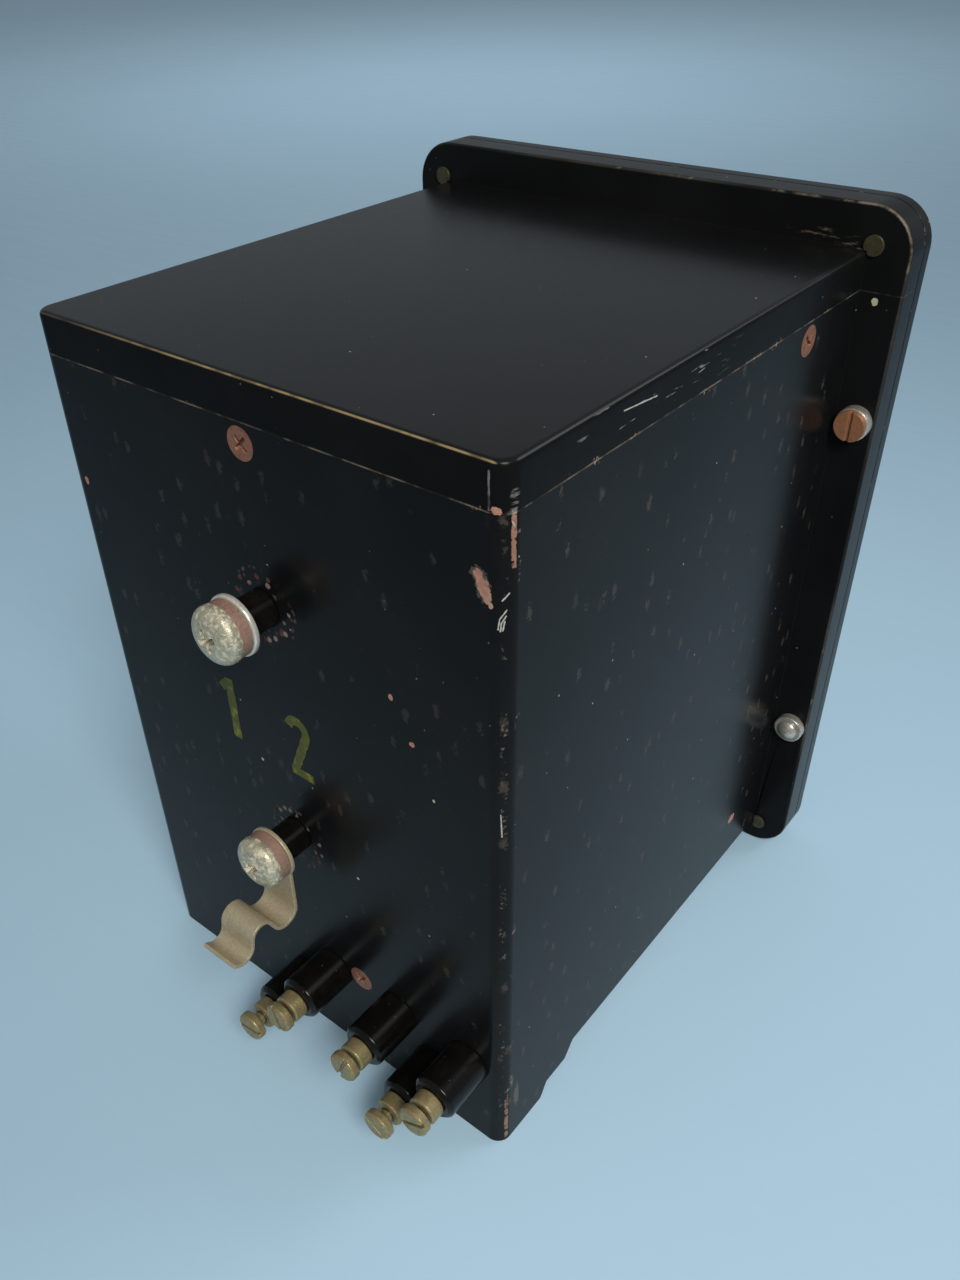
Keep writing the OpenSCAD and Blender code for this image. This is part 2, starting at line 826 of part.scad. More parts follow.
module door_frame() {
    color([0.05, 0.05, 0.06])
    difference() {
        along_y(door_front, door_y) flange_plan();
        along_y(door_front + sheet, door_y + 1) flange_plan(sheet);
        along_y(door_front - 1, door_y) window_plan();
        rod_y(latch_x, 0, 3.05, door_front - 1, door_y);
        rod_y(0, reset_z, 5.05, door_front - 1, door_y);
    }
}

module door_glass() {
    color([0.7, 0.85, 0.85, 0.35])
    along_y(door_front + sheet, door_front + sheet + glass_t) window_plan(glass_lap);
}

module glass_clips() {
    seat = door_front + sheet;
    edge = window_w / 2 + glass_lap;
    color([0.6, 0.6, 0.6])
    for (s = [-1, 1], z = [-42, 66]) {
        x0 = s > 0 ? edge + 0.2 : -edge - 6.2;
        x1 = s > 0 ? edge - 3.5 : -edge - 6.2;
        difference() {
            union() {
                block(x0, x0 + 6, seat, seat + glass_t + 1.1, z - 5, z + 5);
                block(x1, x1 + 9.7, seat + glass_t + 0.1, seat + glass_t + 1.1, z - 5, z + 5);
            }
            rod_y(s * (edge + 3.2), z, 1.52, seat - 1, door_y + 2);
        }
    }
}

module clip_screws() {
    seat = door_front + sheet;
    edge = window_w / 2 + glass_lap;
    color([0.7, 0.68, 0.6])
    for (s = [-1, 1], z = [-42, 66]) difference() {
        union() {
            rod_y(s * (edge + 3.2), z, 1.5, seat, seat + glass_t + 1.2);
            rod_y(s * (edge + 3.2), z, 2.6, seat + glass_t + 1.1, seat + glass_t + 2.7);
        }
        block(s * (edge + 3.2) - 3, s * (edge + 3.2) + 3, seat + glass_t + 2, 0, z - 0.4, z + 0.4);
    }
}

module door_gasket() {
    color([0.12, 0.12, 0.12])
    difference() {
        along_y(door_front + sheet, door_y) flange_plan(sheet + 0.4);
        along_y(door_front, door_y + 1) flange_plan(sheet + 4.4);
    }
}

module at_hinges() {
    for (z = hinge_zs) translate([hinge_x, door_y + 0.15, z]) children();
}

module door_hinges() {
    third = hinge_l / 6 - 0.15;
    wall = flange_w / 2 - hinge_x;
    color([0.08, 0.08, 0.08])
    at_hinges() difference() {
        union() {
            block(wall, wall + 1.2, -door_d, -2.9, -hinge_l / 2, hinge_l / 2);
            block(wall, -0.5, -2.9 - eps, -0.5, -third, third);
            rod_z(0, 0, hinge_r, -third, third);
        }
        rod_z(0, 0, hinge_pin_r + run_gap, -20, 20);
    }
}

module case_hinges() {
    third = hinge_l / 6 + 0.15;
    half = hinge_l / 2;
    wall = flange_w / 2 - hinge_x;
    color([0.08, 0.08, 0.08])
    at_hinges() difference() {
        union() {
            block(wall, wall + 1.2, 2.9, 8.2, -half, half);
            for (s = [-1, 1]) translate([0, 0, s * (third + half) / 2]) {
                h = (half - third) / 2;
                block(wall, -0.5, 0.5, 2.9 + eps, -h, h);
                rod_z(0, 0, hinge_r, -h, h);
            }
        }
        rod_z(0, 0, hinge_pin_r + 0.02, -20, 20);
    }
}

module hinge_pins() {
    color([0.6, 0.6, 0.6])
    at_hinges() {
        rod_z(0, 0, hinge_pin_r, -hinge_l / 2, hinge_l / 2);
        rod_z(0, 0, 2.2, hinge_l / 2, hinge_l / 2 + 1);
        rod_z(0, 0, 2.2, -hinge_l / 2 - 1, -hinge_l / 2);
    }
}

module latch_knob() {
    color([0.05, 0.05, 0.05])
    union() {
        turned_y(latch_x, door_front - 11.5, 0)
            polygon([[0, 0], [5, 0], [6.2, 1], [6.2, 5.5], [9, 7], [9, 10.6], [8.4, 11.2], [0, 11.2]]);
        block(latch_x - 2.2, latch_x + 2.2, door_front - 14, door_front - 5, -8.5, 8.5);
        rod_y(latch_x, 0, 3, door_front - 1, -6.5);
    }
}

module latch_cam() {
    color([0.65, 0.65, 0.62])
    difference() {
        union() {
            rod_y(latch_x, 0, 4.6, door_front + sheet + 0.4, -6.5);
            block(latch_x - 3.5, latch_x + 3.5, -8.1, -6.5, 0, 8);
            rod_y(latch_x, 8, 3.5, -8.1, -6.5);
        }
        rod_y(latch_x, 0, 3.02, door_front, 0);
    }
}

module latch_keeper() {
    wall = sheet - flange_w / 2;
    color([0.65, 0.65, 0.62])
    union() {
        block(wall, -76.5, -rim_d, -rim_d + 1, -6, 6);
        block(wall, wall + 1.2, -rim_d, -sheet, -8, 8);
    }
}

module reset_ferrule() {
    color([0.7, 0.68, 0.6])
    turned_y(0, door_front - 3.8, reset_z)
        polygon([[4.5, 0], [6, 0], [6, 3.8], [5, 3.8], [5, 9.3], [3.05, 9.3], [3.05, 7.5], [4.5, 7.5]]);
}

module reset_button() {
    color([0.45, 0.05, 0.04])
    turned_y(0, door_front - 10.8, reset_z)
        polygon([[0, 0], [7.5, 0], [8.5, 1], [8.5, 6.4], [6.5, 6.4], [6.5, 2.2], [3, 2.2], [3, 16.6],
            [4.4, 16.6], [4.4, 17.4], [0, 17.4]]);
}

module reset_spring() {
    color([0.75, 0.75, 0.75])
    translate([0, door_front - 8.6, reset_z]) rotate([-90, 0, 0]) wound_spring(3.7, 8, 4, 0.4);
}

module blank_plate() {
    color([0.7, 0.7, 0.68])
    block(-24, 24, door_front - 0.5, door_front, -111, -101);
}

module plate_rivets() {
    color([0.75, 0.7, 0.5])
    for (s = [-1, 1]) rod_y(s * 21, -106, 1.3, door_front - 1.1, door_front - 0.5);
}

case_shell();
top_cover();
case_screws();
corner_plugs();
upper_collars();
upper_studs();
lower_collars();
lower_studs();
line_bushings();
line_screws();
line_washer();
lock_washers();
spring_clip();
control_bushings();
control_studs();
control_nuts();
control_screws();
base_panel();
fixed_jaw();
hinge_jaw();
terminal_block();
block_screws();
pivot_pin();
switch_blade();
handle_lever();
handle_grip();
magnet_yoke();
magnet_core();
coil_former();
trip_coil();
bus_straps();
armature();
armature_pin();
armature_spring();
target_flag();
flag_pin();
flag_bracket();
aux_block();
aux_leaves();
control_links();
door_frame();
door_glass();
glass_clips();
clip_screws();
door_gasket();
door_hinges();
case_hinges();
hinge_pins();
latch_knob();
latch_cam();
latch_keeper();
reset_ferrule();
reset_button();
reset_spring();
blank_plate();
plate_rivets();
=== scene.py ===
"""Looks of the breaker panel box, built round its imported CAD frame. Metres, +Z up, terminal wall at +Y."""

import json
import math
import random

import bmesh
import bpy
from mathutils import Matrix, Vector


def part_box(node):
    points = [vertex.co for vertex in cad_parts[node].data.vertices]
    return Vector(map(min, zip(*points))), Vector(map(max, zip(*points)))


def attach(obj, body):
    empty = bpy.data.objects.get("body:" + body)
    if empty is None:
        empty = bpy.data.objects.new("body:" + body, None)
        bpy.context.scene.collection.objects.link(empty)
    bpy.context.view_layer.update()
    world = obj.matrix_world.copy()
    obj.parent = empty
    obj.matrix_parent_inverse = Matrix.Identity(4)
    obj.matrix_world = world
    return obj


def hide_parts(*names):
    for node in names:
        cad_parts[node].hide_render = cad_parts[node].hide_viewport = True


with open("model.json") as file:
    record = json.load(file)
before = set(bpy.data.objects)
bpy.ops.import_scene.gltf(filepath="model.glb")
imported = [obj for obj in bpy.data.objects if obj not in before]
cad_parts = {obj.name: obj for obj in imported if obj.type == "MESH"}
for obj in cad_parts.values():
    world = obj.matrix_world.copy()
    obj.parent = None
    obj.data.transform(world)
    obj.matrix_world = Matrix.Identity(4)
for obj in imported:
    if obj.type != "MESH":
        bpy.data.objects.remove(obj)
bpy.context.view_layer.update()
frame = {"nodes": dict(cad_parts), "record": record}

MM = 0.001
BODY_OF = {n: b for b, members in frame["record"]["behaviour"]["bodies"].items() for n in members}
SLOT_OF = {s["node"]: s["material_slot"] for s in frame["record"]["subparts"]}
BOX = {n: [[round(c / MM, 3) for c in corner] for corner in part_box(n)] for n in frame["nodes"]}

# Sizes in millimetres: those the frame gives, and the folds and walls that its boxes do not show
HALF_W = 72.5
CASE_D = 161.0
FLANGE_W = BOX["door_frame"][1][0]
FLANGE_H = BOX["door_frame"][1][2]
FLANGE_R = 12.5
FOLD_R = 4.5
FLOOR_Z = BOX["case_shell"][0][2]
CASE_TOP = -FLOOR_Z - (FLANGE_W - HALF_W)
SEAM_Z = CASE_TOP - 10.5

# The band along the flange's outline that counts as its edge, and how near a plane counts as on it
EDGE_BAND = 3.8
NEAR = 0.05

# Vertices closer than this, in metres, are one. Edges that turn by more than SHARP are rounded, and those that
# still turn by more than CREASE are not shaded smooth.
MERGE = 2e-6
SHARP = math.radians(38)
CREASE = math.radians(35)


# ---------------------------------------------------------------- camera, floor and light

def make_camera():
    """The photograph's viewpoint, solved from the case's straight edges."""
    place = Vector((-0.17487, 0.29920, 0.18809))
    ahead = Vector((0.51726, -0.61896, -0.59104)).normalized()
    up = Vector((0.35901, -0.46998, 0.80637))
    right = ahead.cross(up).normalized()
    up = right.cross(ahead)
    data = bpy.data.cameras.new("camera")
    data.sensor_width = 36.0
    data.lens = 30.284
    data.shift_x = 0.0201
    data.shift_y = 0.0166
    data.clip_start = 0.01
    camera = bpy.data.objects.new("camera", data)
    camera.matrix_world = Matrix((
        (right.x, up.x, -ahead.x, place.x),
        (right.y, up.y, -ahead.y, place.y),
        (right.z, up.z, -ahead.z, place.z),
        (0, 0, 0, 1)))
    bpy.context.scene.collection.objects.link(camera)
    bpy.context.scene.camera = camera


def area_light(name, place, target, size, power, colour, spread):
    """A square soft light, in metres and watts, whose light keeps to a cone of that spread in degrees."""
    data = bpy.data.lights.new(name, "AREA")
    data.size = size
    data.energy = power
    data.color = colour
    data.spread = math.radians(spread)
    lamp = bpy.data.objects.new(name, data)
    lamp.location = place
    lamp.rotation_euler = (Vector(target) - Vector(place)).to_track_quat("-Z", "Y").to_euler()
    bpy.context.scene.collection.objects.link(lamp)


def make_stage():
    bpy.ops.mesh.primitive_plane_add(size=60.0, location=(0, 0, FLOOR_Z * MM))
    floor = bpy.context.object
    floor.name = "studio_floor"
    floor.data.materials.append(floor_material())
    area_light("key", (-0.66, 0.56, 0.74), (0.03, 0.0, -0.08), size=0.42, power=1.6,
               colour=(1.0, 0.98, 0.95), spread=68)
    area_light("back", (0.9, -1.1, 1.6), (1.3, -1.6, 0), size=1.0, power=5.0,
               colour=(0.93, 0.97, 1.0), spread=100)
    area_light("side", (-0.9, -1.1, 1.0), (0, 0, 0), size=0.8, power=0.8,
               colour=(0.95, 0.98, 1.0), spread=60)
    world = bpy.data.worlds.new("studio")
    bpy.context.scene.world = world
    world.use_nodes = True
    sky = world.node_tree.nodes["Background"]
    sky.inputs["Color"].default_value = (0.66, 0.74, 0.80, 1)
    sky.inputs["Strength"].default_value = 0.38
    bpy.context.scene.view_settings.view_transform = "Standard"


# ---------------------------------------------------------------- materials as arithmetic on fields

class Field:
    """A value that varies over a surface. Arithmetic on it adds Math nodes to its material."""

    def __init__(self, paint, socket):
        self.paint = paint
        self.socket = socket

    def math(self, operation, other=None, third=None):
        node = self.paint.add("ShaderNodeMath", operation=operation)
        for index, value in enumerate((self, other, third)):
            self.paint.feed(node.inputs[index], value)
        return Field(self.paint, node.outputs[0])

    def __add__(self, other):
        return self.math("ADD", other)

    def __sub__(self, other):
        return self.math("SUBTRACT", other)

    def __mul__(self, other):
        return self.math("MULTIPLY", other)

    def max(self, other):
        return self.math("MAXIMUM", other)

    def min(self, other):
        return self.math("MINIMUM", other)

    def abs(self):
        return self.math("ABSOLUTE")

    def sqrt(self):
        return self.math("SQRT")

    def ramp(self, start, end, low=0.0, high=1.0):
        """Goes smoothly from low at start to high at end, and start may be above end."""
        node = self.paint.add("ShaderNodeMapRange", interpolation_type="SMOOTHSTEP", clamp=True)
        self.paint.feed(node.inputs["Value"], self)
        if start > end:
            start, end, low, high = end, start, high, low
        for name, value in (("From Min", start), ("From Max", end), ("To Min", low), ("To Max", high)):
            node.inputs[name].default_value = value
        return Field(self.paint, node.outputs[0])


class Paint:
    """A Principled material with short ways to make its nodes. Places are in millimetres."""

    def __init__(self, name):
        self.material = bpy.data.materials.new(name)
        self.material.use_nodes = True
        self.tree = self.material.node_tree
        self.shader = self.tree.nodes["Principled BSDF"]
        where = self.add("ShaderNodeTexCoord").outputs["Object"]
        scale = self.add("ShaderNodeVectorMath", operation="SCALE")
        self.tree.links.new(where, scale.inputs[0])
        scale.inputs["Scale"].default_value = 1 / MM
        self.where = scale.outputs[0]
        split = self.add("ShaderNodeSeparateXYZ")
        self.tree.links.new(self.where, split.inputs[0])
        self.x, self.y, self.z = (Field(self, s) for s in split.outputs)

    def add(self, kind, **settings):
        node = self.tree.nodes.new(kind)
        for name, value in settings.items():
            setattr(node, name, value)
        return node

    def feed(self, socket, value):
        if isinstance(value, Field):
            self.tree.links.new(value.socket, socket)
        elif value is not None:
            socket.default_value = value

    def stretched(self, stretch, turn=(0, 0, 0)):
        """The place, turned and scaled, so that a texture runs along one direction."""
        node = self.add("ShaderNodeMapping")
        self.tree.links.new(self.where, node.inputs["Vector"])
        node.inputs["Scale"].default_value = stretch
        node.inputs["Rotation"].default_value = turn
        return node.outputs[0]

    def noise(self, size, detail=3.0, rough=0.55, where=None, seed=0.0):
        """Noise from 0 to 1 with features of about that size in millimetres."""
        node = self.add("ShaderNodeTexNoise", noise_dimensions="4D")
        self.tree.links.new(where or self.where, node.inputs["Vector"])
        node.inputs["W"].default_value = seed
        node.inputs["Scale"].default_value = 1 / size
        node.inputs["Detail"].default_value = detail
        node.inputs["Roughness"].default_value = rough
        return Field(self, node.outputs["Fac"])

    def cells(self, size, where=None):
        """Distance to scattered points, and a random value for each, on a grid of that size."""
        node = self.add("ShaderNodeTexVoronoi")
        self.tree.links.new(where or self.where, node.inputs["Vector"])
        node.inputs["Scale"].default_value = 1 / size
        pick = self.add("ShaderNodeSeparateColor")
        self.tree.links.new(node.outputs["Color"], pick.inputs[0])
        return Field(self, node.outputs["Distance"]), Field(self, pick.outputs[0])

    def mix(self, amount, first, second):
        """Mixes two colours, each a tuple or a field."""
        node = self.add("ShaderNodeMix", data_type="RGBA")
        self.feed(node.inputs["Factor"], amount)
        for socket, colour in ((node.inputs["A"], first), (node.inputs["B"], second)):
            named = [s for s in node.inputs if s.name == socket.name and s.type == "RGBA"][0]
            self.feed(named, colour if isinstance(colour, Field) else (*colour, 1))
        return Field(self, [s for s in node.outputs if s.type == "RGBA"][0])

    def blob(self, centre, radii, ragged=0.35, size=1.6):
        """1 inside a ragged ellipsoid, 0 outside."""
        total = None
        for axis, middle, radius in zip((self.x, self.y, self.z), centre, radii):
            part = (axis - middle) * (1 / radius)
            part = part * part
            total = part if total is None else total + part
        edge = (self.noise(size, 4) - 0.5) * (2 * ragged)
        return (total.sqrt() + edge).ramp(1.08, 0.92)

    def blobs(self, places, ragged, size):
        """The union of several blobs, each a centre and radii."""
        whole = None
        for centre, radii in places:
            one = self.blob(centre, radii, ragged, size)
            whole = one if whole is None else whole.max(one)
        return whole

    def near_line(self, start, end, width, ragged=None):
        """1 on the straight line between two places, 0 beyond that width from it."""
        span = Vector(end) - Vector(start)
        away = self.vector("SUBTRACT", self.where, start)
        along = Field(self, self.vector("DOT_PRODUCT", away, span / span.length_squared, "Value"))
        along = along.max(0.0).min(1.0)
        foot = self.add("ShaderNodeVectorMath", operation="SCALE")
        foot.inputs[0].default_value = span
        self.feed(foot.inputs["Scale"], along)
        gap = Field(self, self.vector("DISTANCE", away, foot.outputs[0], "Value"))
        if ragged:
            gap = gap + ragged
        return gap.ramp(width, width * 0.45)

    def vector(self, operation, first, second, output="Vector"):
        node = self.add("ShaderNodeVectorMath", operation=operation)
        for socket, value in zip(node.inputs, (first, second)):
            if isinstance(value, bpy.types.NodeSocket):
                self.tree.links.new(value, socket)
            else:
                socket.default_value = value
        return node.outputs[output]

    def outline_distance(self, half_w, half_h, radius):
        """Signed distance in X and Z from a rounded rectangle round the origin, negative inside."""
        across = self.x.abs() - (half_w - radius)
        up = self.z.abs() - (half_h - radius)
        ax, az = across.max(0.0), up.max(0.0)
        return (ax * ax + az * az).sqrt() + across.max(up).min(0.0) - radius

    def set(self, **values):
        names = {"colour": "Base Color", "metal": "Metallic", "rough": "Roughness",
                 "specular": "Specular IOR Level", "ior": "IOR", "transmission": "Transmission Weight",
                 "sheen": "Sheen Weight"}
        for name, value in values.items():
            self.feed(self.shader.inputs[names[name]], (*value, 1) if isinstance(value, tuple) else value)

    def bump(self, height, depth, strength=1.0):
        """Relief of that depth in millimetres where height is 1."""
        node = self.add("ShaderNodeBump")
        node.inputs["Strength"].default_value = strength
        node.inputs["Distance"].default_value = depth * MM
        self.feed(node.inputs["Height"], height)
        self.tree.links.new(node.outputs[0], self.shader.inputs["Normal"])


def floor_material():
    paint = Paint("floor_paint")
    drift = paint.noise(420, 2)
    brush = paint.noise(9, 4, where=paint.stretched((0.12, 1.0, 1.0), (0, 0, 0.9)))
    tone = paint.mix(drift, (0.44, 0.64, 0.78), (0.50, 0.70, 0.83))
    paint.set(colour=paint.mix(brush * 0.3, tone, (0.40, 0.59, 0.73)),
              rough=brush.ramp(0.3, 0.7, 0.42, 0.55))
    paint.bump(brush, 0.12)
    return paint.material


# Bare primer in three tones, the pale tone of scratches and dust and of the painted highlights on the cover's
# corner, and the dull tone of rubbed folds
BARE = (0.47, 0.225, 0.155)
BARE_DARK = (0.30, 0.16, 0.11)
BARE_DUSTY = (0.40, 0.30, 0.23)
PALE = (0.42, 0.40, 0.36)
RUBBED = (0.22, 0.175, 0.125)

# Knocks, as a centre and radii in millimetres: to the primer, to a pale putty, and the faint fringes
KNOCKS = [((-65.9, 161, 79.6), (1.2, 3, 1.3)), ((-67.0, 161, 77.4), (1.7, 3, 2.1)),
          ((-68.0, 161, 75.2), (1.1, 3, 1.6)), ((-68.8, 160.9, 73.6), (0.5, 3, 0.9)),
          ((-69.8, 160.6, 94.4), (1.1, 2.5, 0.8)), ((-40.2, 161, 37.5), (0.7, 2, 0.9)),
          ((-46.1, 161, 26.3), (0.8, 2, 0.7)), ((-72.5, 24.4, -87.5), (2, 2.2, 1.8)),
          ((66.0, 161, 60.0), (0.7, 2, 1.2))]
PUTTY = [((-77.1, 0, 91.4), (0.9, 1.4, 1.1)), ((-52.0, 161, 12.0), (0.4, 2, 0.5)),
         ((10.5, 161, -8.5), (0.5, 2, 0.5)), ((-23.0, 161, -34.0), (0.5, 2, 0.4))]
FRINGES = [((-65.9, 161, 79.6), (1.9, 3, 1.7)), ((-67.1, 161, 76.8), (1.7, 3, 2.9)),
           ((-72.5, 153.8, -97.5), (2.0, 1.2, 4.6))]

# Heights of the line terminals, and how much the paint round each is cracked
CRACKED_AT = ((45.8, 1.0), (-32.2, 0.7))
CRACK_R = 8.6


def on_fold(angle, z):
    """A place on the upright fold at the photographed corner. At 0 degrees it is on the terminal wall."""
    turn = math.radians(angle)
    return (-HALF_W + FOLD_R - FOLD_R * math.sin(turn), CASE_D - FOLD_R + FOLD_R * math.cos(turn), z)


def on_side(y, z):
    """A place on the photographed side wall."""
    return (-HALF_W, y, z)


class Enamel(Paint):
    """Black stoved enamel over a copper-coloured primer, with each kind of wear, and each painted highlight,
    as its own field.
    """

    def __init__(self, name):
        super().__init__(name)
        self.fine = self.noise(1.1, 5, 0.65)
        self.coarse = self.noise(5.5, 4, 0.6, seed=3.0)
        self.drift = self.noise(38, 3, seed=7.0)
        self.grit = self.fine + self.coarse
        self.ragged = (self.fine - 0.5) * 0.5
        self.on_wall = (self.y - CASE_D).abs().ramp(0.6, 0.2)
        self.behind = self.y.ramp(2.0, 4.0)
        self.below_joint = (self.z - SEAM_Z).ramp(0.0, -1.0)
        self.off_joint = (self.z - SEAM_Z).abs()
        self.to_edge = self.outline_distance(FLANGE_W, FLANGE_H, FLANGE_R)
        self.to_rim = self.length(self.to_edge + 0.35, self.y + 0.35)

    @staticmethod
    def length(across, along):
        return (across * across + along * along).sqrt()

    def joint(self):
        """The line under the top cover's skirt, fainter across the flange and none on the door."""
        line = self.off_joint.ramp(0.26, 0.08) * self.coarse.ramp(0.40, 0.64, 0.05, 0.8)
        return line * self.y.ramp(0.5, 6.0, 0.4, 1.0) * self.y.ramp(-10.2, -9.2)

    def joint_chips(self):
        near_fold = (self.x + HALF_W).abs().ramp(26.0, 3.0)
        return self.off_joint.ramp(1.3, 0.3) * (self.grit + near_fold * 0.05).ramp(1.23, 1.31) * self.behind

    def fold_wear(self):
        """The upright folds: a bare strip under the joint, one at the foot, and specks beside them."""
        to_strip = self.length(self.x.abs() - (HALF_W - 0.3), self.y - (CASE_D - 2.9))
        top = to_strip.ramp(1.15, 0.3) * (self.z - (SEAM_Z - 5.5)).abs().ramp(9.0, 5.0)
        foot = to_strip.ramp(1.3, 0.4) * self.z.ramp(-84.0, -98.0) * 0.8
        strip = top.max(foot)
        worn = (strip + (self.grit - 1.0) * 1.9).ramp(0.60, 0.88) * strip.ramp(0.05, 0.3) * 0.75
        specks = (to_strip - 1.6).abs().ramp(1.1, 0.3) * self.grit.ramp(1.11, 1.22) * self.below_joint
        return worn, specks

    def corner_painted_highlights(self):
        """Painted highlights on the top cover's upright corner: a pale line, and the hatching beside it."""
        line = self.near_line(on_fold(6, SEAM_Z + 0.5), on_fold(6, CASE_TOP - 2.2), 0.3, self.ragged)
        bars = self.noise(0.9, 2, 0.4, where=self.stretched((0.3, 0.3, 1.6)), seed=13.0).ramp(0.48, 0.54)
        hatch = self.near_line(on_fold(62, SEAM_Z - 0.5), on_fold(72, SEAM_Z + 3.8), 1.3, self.ragged) * bars
        return line.max(hatch) * self.coarse.ramp(0.36, 0.60, 0.1, 0.75)

    def rim_wear(self):
        """The fold round the flange's rear face, rubbed most at the top corner."""
        corner = (self.x + 66.0).abs().ramp(32.0, 14.0) * self.z.ramp(94.0, 106.0)
        worn = (self.coarse + self.drift + corner * 0.26).ramp(1.10, 1.28)
        return (self.to_rim + self.ragged).ramp(0.52, 0.15) * worn

    def rim_front(self):
        """Specks along the front edge of the rim."""
        edge = self.to_edge.ramp(-1.1, -0.3) * (self.y + 9.5).abs().ramp(0.9, 0.3)
        return edge * self.grit.ramp(1.12, 1.26)

    def top_edge_painted_highlight(self):
        """A painted highlight: the line that catches the light along the top cover's rear edge."""
        away = self.length(self.z - (CASE_TOP - 0.5), self.y - (CASE_D - 0.5))
        line = away.ramp(0.34, 0.10) * self.coarse.ramp(0.3, 0.6, 0.25, 0.95)
        return line * self.x.ramp(66.0, 10.0, 0.2, 1.0)

    def flange_fold_wear_and_highlight(self):
        """The fainter line round the flange's fold: partly rub wear, partly a painted highlight."""
        return self.to_rim.ramp(0.5, 0.2) * self.drift.ramp(0.40, 0.62, 0.1, 0.8)

    def cover_rub(self):
        """Wisps rubbed into the flange above the case's photographed corner."""
        wisps = self.noise(1.0, 4, 0.6, where=self.stretched((0.16, 1.0, 1.0)), seed=17.0).ramp(0.52, 0.64)
        start, end = (-71.0, 0.0, CASE_TOP + 1.4), (-50.0, 0.0, CASE_TOP + 3.2)
        rub = self.near_line(start, end, 1.9, (self.fine - 0.5) * 2.4)
        return rub * wisps * self.x.ramp(-50.0, -62.0, 0.3, 1.0)

    def cracks(self):
        """Cracked paint round the line terminals' bushings, and the random value of each flake."""
        ring = None
        for axis_z, amount in CRACKED_AT:
            off_ring = (self.length(self.x, self.z - axis_z) - CRACK_R).abs()
            one = off_ring.ramp(2.8, 1.0) * self.on_wall * amount
            ring = one if ring is None else ring.max(one)
        flakes, chance = self.cells(2.1)
        return ring * (flakes + (self.fine - 0.5) * 0.5).ramp(0.46, 0.30) * chance.ramp(0.35, 0.5), chance

    def scratches(self):
        """Fine white scratches: a scribble on the fold, some along the side, and rubs near the joint."""
        marks = [(on_fold(52, 72.8), on_fold(34, 70.7)), (on_fold(34, 70.7), on_fold(30, 68.3)),
                 (on_fold(50, 71.4), on_fold(38, 69.7)), (on_fold(38, 69.7), on_fold(36, 67.8)),
                 (on_fold(47, 70.2), on_fold(42, 68.0)), (on_fold(58, 76.6), on_fold(40, 75.0)),
                 (on_fold(64, 92.0), on_fold(70, 91.0)), (on_side(122, 101.0), on_side(109, 99.8)),
                 (on_side(112, 108.5), on_side(98, 106.8)), (on_side(102, 104.9), on_side(88, 103.4)),
                 (on_side(128, 112.5), on_side(120, 111.9)), (on_fold(40, 18.0), on_fold(44, 11.0))]
        scratch = None
        for start, end in marks:
            one = self.near_line(start, end, 0.2, (self.fine - 0.5) * 0.4)
            scratch = one if scratch is None else scratch.max(one)
        slanted = self.stretched((1.0, 0.12, 1.0), (0.42, 0, 0))
        rubs = self.noise(1.2, 4, 0.6, where=slanted, seed=11.0).ramp(0.61, 0.68)
        zone = self.x.abs().ramp(HALF_W - 0.5, HALF_W) * (self.z - 103.0).abs().ramp(9.0, 3.0)
        zone = zone * (self.y - 108.0).abs().ramp(40.0, 12.0)
        return scratch.max(zone * rubs * self.behind * 0.8)

    def strokes(self):
        """Short brown strokes below the joint, fewer on the terminal wall."""
        shape, chance = self.cells(4.4, where=self.stretched((1.0, 1.0, 0.5), (0.5, 0, 0)))
        shape = (shape + (self.fine - 0.5) * 0.9).ramp(0.28, 0.10) * chance.ramp(0.50, 0.58)
        return shape * self.behind * self.below_joint * self.on_wall.ramp(0.0, 1.0, 1.0, 0.55)

    def spots(self, size, wide, often):
        """Scattered spots: wide and often are the ramps of their size and of how many there are."""
        shape, chance = self.cells(size)
        return shape.ramp(*wide) * chance.ramp(*often)


